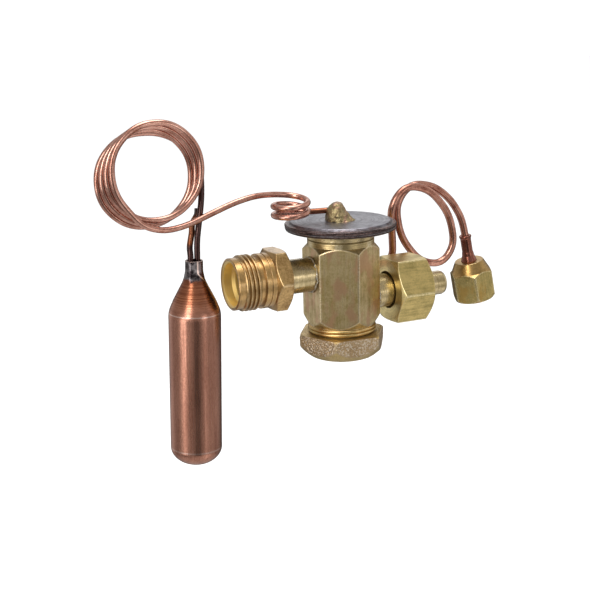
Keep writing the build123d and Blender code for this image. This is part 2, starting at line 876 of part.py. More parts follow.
def bulb_neck_bore():
    """Flattened bore of the neck."""
    inside = rod(bulb_neck_radius - bulb_neck_wall, -bulb_bore_depth, 0)
    return inside & neck_slab(bulb_neck_flat / 2 - bulb_neck_wall)


def neck_solder():
    """Solder run into the crimped neck round the capillary and the charging tube."""
    fill = bulb_neck_bore() & rod(bulb_neck_radius, -bulb_bore_depth, -bulb_solder_drop)
    for side in (-1, 1):
        hole = rod(capillary_radius + home_gap, -bulb_bore_depth, 0)
        fill -= Location((side * tube_spacing / 2, 0, 0)) * hole
    return bulb_place() * fill


def charge_tube():
    """Short tube that the bulb was filled through, pinched flat and cut off at its top."""
    half = tube_spacing / 2
    foot = in_bulb(-half, -bulb_tube_depth)
    collar = in_bulb(-half, charge_lead)
    top = past_inlet(charge_tube_top)
    bends = [past_inlet(p) for p in charge_tube_bends]
    tube = tube_along([foot, collar, *bends, top], capillary_radius)
    along = (top - bends[-1]).normalized()
    flat = Ellipse(charge_pinch_width / 2, charge_pinch_thickness / 2)
    sections = []
    for share, outline in ((0, Circle(capillary_radius)), (0.5, flat), (1, flat)):
        place = top + along * charge_pinch_length * share
        sections.append(Plane(origin=place, x_dir=charge_pinch_way, z_dir=along) * outline)
    return tube + loft(sections)


def sleeve_place():
    """The frame at the top of the swaged sleeve, leaning as the flare nut does."""
    return Location(sleeve_top, (0, -sleeve_lean, 0))


def in_sleeve(z):
    """A point on the sleeve's axis."""
    return (sleeve_place() * Location((0, 0, z))).position


def equaliser_route():
    """Corners of the path from the back of the body round the loop to the sleeve."""
    step = 360 / points_per_turn
    spread = 1 / cos(radians(step / 2))
    seat = equaliser_face - equaliser_way * (equaliser_seat_depth - home_gap)
    route = [seat, equaliser_face + equaliser_way * equaliser_standoff]
    route += [Vector(*p) for p in equaliser_rise]
    for index in range(round(loop_turns * points_per_turn)):
        turn = (index + 0.5) / points_per_turn
        angle = radians(180 - 360 * turn)
        across = spread * cos(angle)
        up = spread * sin(angle)
        x = loop_centre_x + loop_drift_x * turn + loop_radius_x * across - loop_skew * up
        z = loop_centre_z + loop_radius_z * up - loop_skew * across
        route.append(Vector(x, loop_start_y + loop_pitch_y * turn, z))
    route += [Vector(*p) for p in equaliser_fall]
    return route + [in_sleeve(sleeve_lead), in_sleeve(-equaliser_depth_in_sleeve)]


def equaliser_tube():
    """Copper tube that brings the pressure to the underside of the diaphragm."""
    return tube_along(equaliser_route(), equaliser_radius)


def equaliser_seam():
    """Ring of braze where the equaliser tube enters the body."""
    seam = turned(
        (equaliser_radius, 0),
        (equaliser_radius + seam_height, 0),
        (equaliser_radius + seam_height * seam_fullness, seam_height * seam_fullness),
        (equaliser_radius, seam_height),
    )
    return Plane(origin=equaliser_face, z_dir=equaliser_way) * seam


def equaliser_sleeve():
    """Copper sleeve swaged down onto the small tube, its foot flared to a 45 degree seat."""
    swage_z = -sleeve_length
    tube_z = swage_z - sleeve_swage_length
    flare_z = -flare_seat_depth
    flare_run = (flare_radius - sleeve_tube_radius) / tan(radians(flare_angle))
    bore = equaliser_radius + home_gap
    wall = sleeve_tube_radius - sleeve_bore
    sleeve = turned(
        (bore, 0),
        (sleeve_radius + sleeve_lip, 0),
        (sleeve_radius + sleeve_lip, -2 * sleeve_lip),
        (sleeve_radius, -4 * sleeve_lip),
        (sleeve_radius, swage_z),
        (sleeve_tube_radius, tube_z),
        (sleeve_tube_radius, flare_z + flare_run),
        (flare_radius, flare_z),
        (flare_radius - wall, flare_z),
        (sleeve_bore, flare_z + flare_run),
        (sleeve_bore, tube_z),
        (bore, swage_z),
    )
    return sleeve_place() * sleeve


def flare_nut():
    """Long hexagon nut with a coned shoulder, turning on the flared sleeve."""
    top_z = -flare_nut_start
    bottom_z = top_z - flare_nut_length
    corner = corner_radius(flare_nut_across_flats)
    outline = turned(
        (0, bottom_z),
        (flare_nut_across_flats / 2, bottom_z),
        (corner, bottom_z + flare_nut_edge),
        (corner, top_z - flare_nut_shoulder),
        (flare_nut_cone_radius, top_z - flare_nut_cone_length),
        (flare_nut_face_radius, top_z - flare_nut_top_edge),
        (flare_nut_face_radius - flare_nut_top_edge, top_z),
        (0, top_z),
    )
    nut = hexagon(flare_nut_across_flats, bottom_z, top_z, turned_by=flare_nut_turned_deg) & outline
    seat_z = -flare_seat_depth
    run = (flare_thread_radius - sleeve_tube_radius) / tan(radians(flare_angle))
    hole = sleeve_tube_radius + running_gap
    nut -= turned(
        (0, bottom_z),
        (flare_thread_radius, bottom_z),
        (flare_thread_radius, seat_z - contact_gap),
        (hole, seat_z + run - contact_gap),
        (hole, top_z),
        (0, top_z),
    )
    return sleeve_place() * nut


save("valve_body", valve_body())
save("valve_seat", valve_seat())
save("valve_pin", valve_pin())
save("pin_carrier", pin_carrier())
save("push_pin_front", push_pin(-1))
save("push_pin_rear", push_pin(1))
save("buffer_plate", buffer_plate())
save("superheat_spring", superheat_spring())
save("spring_seat", spring_seat())
save("adjuster_housing", adjuster_housing())
save("adjusting_stem", adjusting_stem())
save("stem_packing", stem_packing())
save("packing_gland", packing_gland())
save("cap_gasket", cap_gasket())
save("seal_cap", seal_cap())
save("head_gasket", head_gasket())
save("head_lower_cover", head_lower_cover())
save("diaphragm", diaphragm())
save("head_upper_cover", head_upper_cover())
save("braze_lump", braze_lump())
save("inlet_pipe", inlet_pipe())
save("inlet_seam", braze_seam(-body_face_x, -1))
save("inlet_adapter", inlet_adapter())
save("inlet_screen", inlet_screen())
save("outlet_tail", outlet_tail())
save("outlet_seam", Location((0, 0, -outlet_drop)) * braze_seam(body_face_x, 1))
save("outlet_ring", outlet_ring())
save("union_nut", union_nut())
save("capillary_tube", capillary_tube())
save("sensing_bulb", sensing_bulb())
save("neck_solder", neck_solder())
save("charge_tube", charge_tube())
save("equaliser_tube", equaliser_tube())
save("equaliser_seam", equaliser_seam())
save("equaliser_sleeve", equaliser_sleeve())
save("flare_nut", flare_nut())
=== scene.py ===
"""Thermostatic expansion valve: the looks of the part, laid out as a Blender add-on."""

import json
from math import ceil, cos, pi, radians, sin, sqrt, tan

import bmesh
import bpy
import numpy as np
from mathutils import Matrix, Vector, noise


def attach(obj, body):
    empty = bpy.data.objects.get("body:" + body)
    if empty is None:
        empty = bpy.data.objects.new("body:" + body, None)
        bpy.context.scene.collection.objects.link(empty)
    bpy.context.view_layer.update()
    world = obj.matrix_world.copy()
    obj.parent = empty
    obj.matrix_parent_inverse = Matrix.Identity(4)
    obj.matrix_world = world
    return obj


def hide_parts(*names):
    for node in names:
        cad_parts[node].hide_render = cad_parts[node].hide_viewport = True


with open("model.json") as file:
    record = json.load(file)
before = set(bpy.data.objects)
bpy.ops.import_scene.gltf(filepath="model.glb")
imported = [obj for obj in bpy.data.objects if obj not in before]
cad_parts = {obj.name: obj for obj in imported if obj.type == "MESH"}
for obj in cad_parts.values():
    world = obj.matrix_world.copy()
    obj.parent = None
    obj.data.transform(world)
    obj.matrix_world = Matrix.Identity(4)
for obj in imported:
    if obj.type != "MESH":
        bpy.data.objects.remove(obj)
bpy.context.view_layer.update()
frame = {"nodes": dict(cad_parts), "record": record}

bl_info = {
    "name": "Thermostatic Expansion Valve",
    "version": (1, 0, 0),
    "blender": (4, 5, 0),
    "location": "3D View > Sidebar > Expansion Valve",
    "description": "Dresses the packed solids of a thermostatic expansion valve",
    "category": "Add Mesh",
}

MM = 0.001
HEXAGON = 60.0
NOISE_SEED = 11
COIL_CORNERS = 8
COIL_SPREAD = 1 / cos(pi / COIL_CORNERS)
STORED_TURNS = 3.5
CAMERA_SPOT = (-145.48, -375.08, 98.59)
CAMERA_AROUND, CAMERA_ABOVE, CAMERA_ROLL = -24.455, 14.394, -1.4
CAMERA_LENS = 69.86
FLOOR_REACH, FLOOR_HEIGHT = 4.0, -0.17
SKY_GLOW = 1.15


# Colours and settings


def linear(code):
    """A linear colour from an sRGB code such as #b08d57."""
    shares = [int(code[i : i + 2], 16) / 255 for i in (1, 3, 5)]
    return [s / 12.92 if s <= 0.04045 else ((s + 0.055) / 1.055) ** 2.4 for s in shares]


def length(label, millimetres, text):
    """A length setting, kept in metres."""
    return bpy.props.FloatProperty(
        name=label, description=text, default=millimetres * MM, unit="LENGTH", precision=5
    )


def colour(label, code, text):
    """A colour setting."""
    return bpy.props.FloatVectorProperty(
        name=label, description=text, default=linear(code), size=3, subtype="COLOR"
    )


class ValveBodySizes(bpy.types.PropertyGroup):
    """Sizes of the body, the collar and the cap."""

    inlet_reach: length("Inlet reach", 44.4, "From the valve's axis to the inlet's pilot land")
    across: length("Body across flats", 25.4, "Size of the body's hexagon bar")
    corner_top: length("Corners end above", 8.4, "Height where the hexagon's corners end")
    corner_bottom: length("Corners end below", -16.8, "Height where the hexagon's corners begin")
    neck: length("Neck radius", 12.6, "Radius of the turned ends")
    neck_top: length("Neck top", 12.4, "Height of the upper turned end")
    bottom: length("Body bottom", -20.2, "Height of the body's lower face")
    collar: length("Collar radius", 13.0, "Radius of the two beads under the body")
    collar_height: length("Collar height", 2.7, "Height of both beads together")
    cap_across: length("Cap across flats", 30.0, "Size of the cap's hexagon")
    cap_top: length("Cap top", -23.4, "Height of the cap's upper face")
    cap_bottom: length("Cap bottom", -32.7, "Height of the cap's foot")
    cap_foot: length("Cap foot radius", 11.6, "Radius of the flat foot")


class ValveHeadSizes(bpy.types.PropertyGroup):
    """Sizes of the power head."""

    radius: length("Disc radius", 21.0, "Radius of the welded disc")
    hub_bottom: length("Hub bottom", 12.9, "Height of the hub's lower face")
    under: length("Disc underside", 15.85, "Height of the disc's underside")
    seam: length("Cover split", 17.15, "Height where the two covers meet")
    rim_top: length("Rim top", 18.65, "Height of the rim's upper face")
    plateau: length("Plateau", 19.3, "Height of the raised middle")
    plateau_radius: length("Plateau radius", 19.3, "Radius of the raised middle")
    lump_radius: length("Mound radius", 5.8, "Radius of the braze mound's foot")
    lump_height: length("Mound height", 7.0, "Height of the braze mound")
    lump_lean: length("Mound lean", -1.7, "How far the mound's tip leans")


class ValveEndSizes(bpy.types.PropertyGroup):
    """Sizes of the inlet, the outlet and their nuts."""

    pipe: length("Pipe radius", 6.43, "Outer radius of both stub pipes")
    bore: length("Pipe bore", 4.55, "Inner radius of the stub pipes")
    mouth: length("Mouth radius", 9.55, "Radius of the plain lead before the thread")
    thread: length("Thread radius", 10.32, "Radius over the thread's crests")
    thread_root: length("Thread root", 9.45, "Radius at the thread's roots")
    pitch: length("Thread pitch", 1.5875, "Distance from crest to crest")
    collar: length("Inlet collar", 10.15, "Radius of the plain collars")
    hexagon: length("Inlet hexagon", 21.6, "Across flats")
    drop: length("Outlet drop", 10.0, "How far the outlet's axis lies below the inlet's")
    nut: length("Union nut", 24.0, "Across flats")
    nut_start: length("Union nut start", 19.6, "From the valve's axis")
    nut_length: length("Union nut length", 14.8, "Along the outlet")
    pilot: length("Pilot radius", 4.7, "Radius of the outlet's pilot")
    pilot_reach: length("Pilot reach", 44.6, "From the valve's axis to the pilot's end")
    flare_nut: length("Flare nut", 15.875, "Across flats")
    flare_length: length("Flare nut length", 16.5, "Along its own axis")


class ValveTubeSizes(bpy.types.PropertyGroup):
    """Sizes of the copper tubes and the bulb."""

    capillary: length("Capillary radius", 1.1, "Outer radius of the capillary")
    equaliser: length("Equaliser radius", 1.5, "Outer radius of the equaliser")
    small_coil: length("Small coil radius", 6.4, "Mean radius of the coil beside the head")
    small_tilt: length("Small coil tilt", 0.6, "How far the coil's back stands over its middle")
    large_coil: length("Large coil radius", 16.5, "Mean radius of the stored coil")
    bulb: length("Bulb radius", 9.525, "Radius of the bulb")
    bulb_length: length("Bulb length", 49.6, "Length of the bulb's straight part")
    neck_length: length("Neck length", 8.0, "Length of the crimped neck")
    shoulder: length("Shoulder length", 12.4, "Length of the cone under the neck")
    dome: length("Dome height", 7.0, "Height of the bulb's foot")


class ValveColours(bpy.types.PropertyGroup):
    """Colours of the metals, as their mirror tint."""

    olive_brass: colour("Body brass", "#cbb587", "Drawn bar of the body")
    olive_dark: colour("Body brass, dull", "#9a8654", "The same bar where it has dulled")
    gold_brass: colour("Inlet brass", "#d0a96c", "Turned inlet fitting")
    # dull inlet brass, and the colour that the thread roots are darkened towards as painted shade
    gold_dark: colour("Inlet brass, dull", "#94713f", "Roots of the thread")
    nut_brass: colour("Nut brass", "#d8bf7c", "Union nut")
    nut_dark: colour("Nut brass, dull", "#a08f58", "The same nut where it has dulled")
    forged: colour("Cap brass", "#bfa27c", "Blasted forging")
    forged_dark: colour("Cap brass, dull", "#846842", "Pits of the forging")
    braze: colour("Mound", "#b3a276", "Braze on the disc")
    braze_dark: colour("Mound, burnt", "#6e5c44", "Burnt flux on the braze")
    silver: colour("Silver braze", "#c8c2b8", "Braze round the stub pipes")
    steel: colour("Disc steel", "#9c9aa2", "Stainless covers")
    steel_tint: colour("Disc rim", "#4e3c38", "Heat tint beside the weld")
    copper: colour("Capillary copper", "#dcaa98", "Clean drawn tube")
    copper_dark: colour("Capillary copper, dull", "#a06a58", "The same tube where it has dulled")
    old_copper: colour("Equaliser copper", "#d59e89", "Darker tube")
    old_copper_dark: colour("Equaliser copper, dull", "#8c5444", "Its oxide")
    bulb_copper: colour("Bulb copper", "#c28c76", "Drawn bulb")
    bulb_dark: colour("Bulb copper, dull", "#865444", "Its drawing lines")
    neck_grey: colour("Neck", "#878080", "Crimped neck, left grey by heat")
    floor: colour("Floor", "#f7f7f7", "Pale studio floor")


SETTINGS = {
    "valve_body": ValveBodySizes,
    "valve_head": ValveHeadSizes,
    "valve_ends": ValveEndSizes,
    "valve_tubes": ValveTubeSizes,
    "valve_colours": ValveColours,
}


class Sizes:
    """A group of lengths read in millimetres."""

    def __init__(self, group):
        self.group = group

    def __getattr__(self, name):
        return getattr(self.group, name) / MM


# Shaping


class Form:
    """One mesh in the making: sheets of points, with what its material needs to know.

    own holds each point in the piece's own frame, in millimetres and with Z along its axis.
    The notes are edge, above zero on ridges and below zero in creases, which the materials paint
    bright as a highlight and dark as shade; turned, one where the piece came off a lathe; and
    scorch, up to one where the piece is darker, at the ends of the tubes and along the
    capillary's drop from its coil to the bulb.
    """

    NOTES = ("edge", "turned", "scorch")

    def __init__(self):
        self.points, self.own, self.faces = [], [], []
        self.notes = {name: [] for name in self.NOTES}
        self.count = 0

    def sheet(self, points, own, wrap_rows=False, wrap_columns=True, **notes):
        """Adds a grid of points as quads."""
        rows, columns = points.shape[:2]
        index = np.arange(rows * columns).reshape(rows, columns) + self.count
        if wrap_rows:
            index = np.vstack([index, index[:1]])
        if wrap_columns:
            index = np.hstack([index, index[:, :1]])
        corners = (index[:-1, :-1], index[:-1, 1:], index[1:, 1:], index[1:, :-1])
        self.faces.append(np.stack(corners, -1).reshape(-1, 4))
        self.points.append(points.reshape(-1, 3))
        self.own.append(own.reshape(-1, 3))
        for name, kept in self.notes.items():
            kept.append(np.broadcast_to(notes.get(name, 0.0), (rows, columns)).reshape(-1))
        self.count += rows * columns

    def piece(self, name, body, nodes, slot, finish):
        """Makes the mesh with its notes, gives it its finish, hangs it under its body's empty and hides
        the solids it replaces.
        """
        mesh = bpy.data.meshes.new(name)
        points = np.concatenate(self.points) * MM
        mesh.from_pydata(points.tolist(), [], np.concatenate(self.faces).tolist())
        own = mesh.attributes.new("own", "FLOAT_VECTOR", "POINT")
        own.data.foreach_set("vector", np.concatenate(self.own).astype(np.float32).ravel())
        for note, kept in self.notes.items():
            layer = mesh.attributes.new(note, "FLOAT", "POINT")
            layer.data.foreach_set("value", np.concatenate(kept).astype(np.float32))
        work = bmesh.new()
        work.from_mesh(mesh)
        bmesh.ops.remove_doubles(work, verts=work.verts, dist=0.0005 * MM)
        bmesh.ops.recalc_face_normals(work, faces=work.faces)
        work.to_mesh(mesh)
        work.free()
        mesh.shade_smooth()
        mesh.materials.append(finish)
        thing = bpy.data.objects.new(name, mesh)
        bpy.context.scene.collection.objects.link(thing)
        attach(thing, body)
        if nodes:
            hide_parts(*nodes)
        return thing


def soften(profile, radius, closed, step):
    """Rounds the corners of a profile and notes which are ridges and which are creases."""
    spots = [Vector(p) for p in profile]
    count = len(spots)
    area = sum(spots[i - 1].x * spots[i].y - spots[i].x * spots[i - 1].y for i in range(count))
    out = []
    for i, here in enumerate(spots):
        if not closed and i in (0, count - 1):
            out.append((here, 0.0))
            continue
        back, ahead = spots[i - 1] - here, spots[(i + 1) % count] - here
        turn = pi - back.angle(ahead)
        if turn < 0.03:
            out.append((here, 0.0))
            continue
        side = back.x * ahead.y - back.y * ahead.x
        ridge = -1.0 if side * area > 0 else 1.0
        cut = min(radius * tan(turn / 2), 0.4 * back.length, 0.4 * ahead.length)
        enter, leave = here + back.normalized() * cut, here + ahead.normalized() * cut
        support = min(0.5 * cut + 0.02, 0.08 * back.length, 0.08 * ahead.length)
        out.append((enter + back.normalized() * support, 0.0))
        steps = max(2, ceil(turn / radians(22)))
        for k in range(steps + 1):
            t = k / steps
            spot = enter * (1 - t) ** 2 + here * 2 * t * (1 - t) + leave * t**2
            out.append((spot, ridge * min(1.0, turn) * sin(pi * t)))
        out.append((leave + ahead.normalized() * support, 0.0))
    if closed:
        out.append(out[0])
    dense = []
    for (a, edge_a), (b, edge_b) in zip(out, out[1:]):
        parts = max(1, ceil((b - a).length / step))
        for k in range(parts):
            t = k / parts
            spot = a + (b - a) * t
            dense.append((spot.x, spot.y, edge_a + (edge_b - edge_a) * t))
    if not closed:
        dense.append((out[-1][0].x, out[-1][0].y, 0.0))
    return np.array(dense)


def angles_around(turns, flats):
    """Angles round a piece, closer together beside the corners of a hexagon."""
    if not flats:
        return circle(turns)
    side = [0, 0.3, 0.6, 0.9, 1.3, 2.0, *np.linspace(3.5, HEXAGON / 2, 14)]
    sector = [-a for a in side[:0:-1]] + side[:-1]
    return np.radians([flats[1] + HEXAGON * k + a for k in range(6) for a in sector])


def hexagon_radius(angles, flats):
    """Distance to the rounded hexagon along each angle, and how near each is to a corner."""
    across, turned, rounding = flats
    apothem, half, rubbed_glint_band = across / 2, radians(HEXAGON / 2), 0.45
    off = (np.degrees(angles) - turned + HEXAGON / 2) % HEXAGON - HEXAGON / 2
    off = np.radians(np.abs(off))
    centre = (apothem - rounding) / cos(half)
    tangent = np.arctan2(rounding * sin(half), centre + rounding * cos(half))
    root = np.sqrt(np.maximum(rounding**2 - (centre * np.sin(off)) ** 2, 0))
    reach = np.where(off <= tangent, centre * np.cos(off) + root, apothem / np.cos(half - off))
    return reach, np.exp(-((off * apothem / rubbed_glint_band) ** 2))


def circle(count):
    """Evenly spaced angles."""
    return np.linspace(0, 2 * pi, count, endpoint=False)


def held(value):
    """A value held between zero and one."""
    return np.clip(value, 0, 1)


def lathe(
    form, profile, place, turns=128, soft=0.15, flats=None, closed=False, step=2.0, carve=None
):
    """Turns a profile of (along, radius) pairs about the place's Z axis.

    flats is a hexagon's size across flats, its turn in degrees and its corners' rounding, and
    cuts the piece to that hexagon. soft rounds the profile's corners, step is its longest
    stretch without a point, and carve changes the radius and the edge note of each point.
    """
    line = soften(profile, soft, closed, step)
    angles = angles_around(turns, flats)
    along = line[:, :1] + 0 * angles
    reach = line[:, 1:2] + 0 * angles
    edge = line[:, 2:3] + 0 * angles
    turned = 1.0
    if flats:
        limit, corner = hexagon_radius(angles, flats)
        blend = 0.25
        turned = share = held(0.5 + 0.5 * (limit - reach) / blend)
        # the hexagon's corners and the line where its flats meet the turned part are noted as ridges,
        # which the materials paint bright as a highlight
        edge = np.maximum(edge * share, (1 - share) * corner) + 4 * share * (1 - share)
        reach = limit + (reach - limit) * share - blend * share * (1 - share)
    if carve:
        reach, edge = carve(along, reach, edge, angles)
    own = np.stack([reach * np.cos(angles), reach * np.sin(angles), along], -1)
    form.sheet(moved(place, own), own, wrap_rows=closed, edge=edge, turned=turned)


def moved(place, points):
    """Points carried by a matrix."""
    turn = np.array(place.to_3x3())
    return points @ turn.T + np.array(place.translation)


def roughen(points, size, height):
    """Pushes each point about by smooth noise that is the same on each run."""
    noise.seed_set(NOISE_SEED)
    flat = points.reshape(-1, 3)
    push = np.array([noise.noise_vector(Vector(p) / size) for p in flat.tolist()])
    return (flat + push * height).reshape(points.shape)


def bent(corners):
    """A path of straight runs joined by arcs, each as large as its two runs allow."""
    spots = [Vector(c) for c in corners]
    out = [spots[0]]
    for before, here, after in zip(spots, spots[1:], spots[2:]):
        back, ahead = before - here, after - here
        turn = pi - back.angle(ahead)
        cut = 0.45 * min(back.length, ahead.length)
        enter, leave = here + back.normalized() * cut, here + ahead.normalized() * cut
        steps = max(2, ceil(turn / radians(4)))
        middle = here + (back.normalized() + ahead.normalized()).normalized() * cut / sin(turn / 2)
        arm, other = enter - middle, leave - middle
        for t in np.linspace(0, turn, steps + 1):
            out.append(middle + arm * (sin(turn - t) / sin(turn)) + other * (sin(t) / sin(turn)))
    out.append(spots[-1])
    return np.array([tuple(p) for p in out])


def even(path, spacing, passes):
    """A path with its points evenly spaced and its curvature eased."""
    runs = np.linalg.norm(np.diff(path, axis=0), axis=1)
    keep = np.concatenate([[True], runs > 1e-6])
    path = path[keep]
    along = np.concatenate([[0], np.cumsum(np.linalg.norm(np.diff(path, axis=0), axis=1))])
    spots = np.linspace(0, along[-1], int(along[-1] / spacing) + 1)
    path = np.stack([np.interp(spots, along, path[:, i]) for i in range(3)], -1)
    for _ in range(passes):
        path[1:-1] = (path[:-2] + 2 * path[1:-1] + path[2:]) / 4
    return path, spots


def tube(corners, radius, sides=24, spacing=0.6, passes=12, shape=None, scorch=None):
    """A round tube along a bent path, closed by softly rounded ends.

    shape gives the tube's two widths as shares of its own, and scorch how dark it is, both
    for each distance from its start.
    """
    path, along = even(bent(corners), spacing, passes)
    heading = np.gradient(path, axis=0)
    heading /= np.linalg.norm(heading, axis=1)[:, None]
    side = np.cross(heading[0], (0, 0, 1) if abs(heading[0][2]) < 0.9 else (1, 0, 0))
    side /= np.linalg.norm(side)
    sides_at = []
    for ahead in heading:
        side = side - ahead * (side @ ahead)
        side /= np.linalg.norm(side)
        sides_at.append(side)
    sides_at = np.array(sides_at)
    across = np.cross(heading, sides_at)
    angles = circle(sides)
    reach = np.full(len(path), radius)
    reach[0] = reach[-1] = radius * 0.86
    wide, flat = shape(along) if shape else (1, 1)
    u = (reach * wide)[:, None] * np.cos(angles)
    v = (reach * flat)[:, None] * np.sin(angles)
    points = path[:, None] + u[..., None] * sides_at[:, None] + v[..., None] * across[:, None]
    own = np.stack([u, v, along[:, None] + 0 * angles], -1)
    ends = [points[:1] * 0 + path[0], points, points[:1] * 0 + path[-1]]
    owns = [own[:1] * [0, 0, 1], own, own[-1:] * [0, 0, 1]]
    dark = np.pad(scorch(along), 1, "edge")[:, None] if scorch else 0.0
    form = Form()
    form.sheet(np.concatenate(ends), np.concatenate(owns), scorch=dark)
    return form


def coil(first, last, start, way):
    """Turns made, cosine and sine at each corner of a coil, spread to keep its radius."""
    for k in range(first, last):
        turn = (k + 0.5) / COIL_CORNERS
        a = radians(start + way * 360 * turn)
        yield turn, COIL_SPREAD * cos(a), COIL_SPREAD * sin(a)


# Places


def from_axis(x, y, z):
    """A place in millimetres measured from the valve's own axis."""
    return Vector((x + Sizes(bpy.context.scene.valve_body).inlet_reach, y, z))


def upright():
    """The frame of pieces turned about the valve's axis."""
    return Matrix.Translation(from_axis(0, 0, 0))


def along_x(z=0.0):
    """The frame of pieces turned about the inlet's or the outlet's axis."""
    return Matrix.Translation(from_axis(0, 0, z)) @ Matrix.Rotation(radians(90), 4, "Y")


def bulb_place():
    """The frame at the top of the bulb's neck."""
    return Matrix.Translation(Vector((-12.8, 3.0, 9.9))) @ Matrix.Rotation(radians(1.95), 4, "Y")


def sleeve_place():
    """The frame at the top of the swaged sleeve."""
    return Matrix.Translation(from_axis(65.4, 16.0, 3.7)) @ Matrix.Rotation(radians(-10.8), 4, "Y")


# Materials


class Value:
    """An output of a shader node, which takes part in sums as a number does."""

    def __init__(self, node, key=0):
        self.node, self.key, self.tree = node, key, node.id_data

    def __getitem__(self, key):
        return Value(self.node, key)

    def __add__(self, other):
        return maths("ADD", self, other)

    def __sub__(self, other):
        return maths("SUBTRACT", self, other)

    def __rsub__(self, other):
        return maths("SUBTRACT", other, self)

    def __mul__(self, other):
        return maths("MULTIPLY", self, other)

    def feed(self, socket):
        """Links the value to an input."""
        self.tree.links.new(self.node.outputs[self.key], socket)


def add(tree, kind, inputs=(), **settings):
    """Adds a node with its settings, its constants and its links, and gives its first output."""
    node = tree.nodes.new(kind)
    for key, value in settings.items():
        setattr(node, key, value)
    for key, value in dict(inputs).items():
        if isinstance(value, Value):
            value.feed(node.inputs[key])
        else:
            node.inputs[key].default_value = value
    return Value(node)


def maths(operation, first, second=0.0):
    """One sum on two values, of which one may be a number."""
    tree = (first if isinstance(first, Value) else second).tree
    return add(tree, "ShaderNodeMath", {0: first, 1: second}, operation=operation)


def mix(share, low, high):
    """A colour between two colours."""
    low, high = (c if isinstance(c, Value) else (*c, 1.0) for c in (low, high))
    return add(share.tree, "ShaderNodeMix", {0: share, 6: low, 7: high}, data_type="RGBA")[2]


def between(share, low, high):
    """A value between two values."""
    return add(share.tree, "ShaderNodeMix", {0: share, 2: low, 3: high})


def remap(value, low, high, to_low=0.0, to_high=1.0):
    """A value moved from one range to another and held inside it."""
    inputs = {0: value, 1: low, 2: high, 3: to_low, 4: to_high}
    return add(value.tree, "ShaderNodeMapRange", inputs)


def pattern(place, scale, detail, roughness):
    """Noise over the piece's own millimetres, with one scale or one for each axis."""
    scale = scale if isinstance(scale, tuple) else (scale, scale, scale)
    stretched = add(place.tree, "ShaderNodeVectorMath", {0: place, 1: scale}, operation="MULTIPLY")
    inputs = {"Vector": stretched, "Scale": 1.0, "Detail": detail, "Roughness": roughness}
    return add(place.tree, "ShaderNodeTexNoise", inputs)


def blank(name):
    """A new material with its tree and its surface node."""
    made = bpy.data.materials.new(name)
    made.use_nodes = True
    return made, made.node_tree, made.node_tree.nodes["Principled BSDF"]


def note(tree, name, output="Fac"):
    """What each point of a mesh keeps under a name."""
    return add(tree, "ShaderNodeAttribute", attribute_name=name)[output]


def dress(surface, base, level, height, depth):
    """Gives a metal its colour, its roughness and a relief so many millimetres deep."""
    inputs = {"Height": height, "Distance": depth * MM, "Strength": 1.0}
    relief = add(height.tree, "ShaderNodeBump", inputs)
    for socket, value in (("Base Color", base), ("Roughness", level), ("Normal", relief)):
        value.feed(surface.inputs[socket])
    surface.inputs["Metallic"].default_value = 1.0


def scaled(tone, share):
    """A colour made darker or brighter."""
    return [c * share for c in tone]


def paled(tone, power):
    """A colour drawn towards white: for rubbed bare metal, for bright flecks, and for painted
    highlights on ridges.
    """
    return [c**power for c in tone]


def rings(own):
    """The piece's own place folded flat, so that patterns run round it as turning marks do."""
    parts = add(own.tree, "ShaderNodeSeparateXYZ", {0: own})
    flat = add(own.tree, "ShaderNodeCombineXYZ", {0: parts[0], 1: parts[1]})
    reach = add(own.tree, "ShaderNodeVectorMath", {0: flat}, operation="LENGTH")["Value"]
    return add(own.tree, "ShaderNodeCombineXYZ", {0: reach, 2: parts[2]}), parts, reach


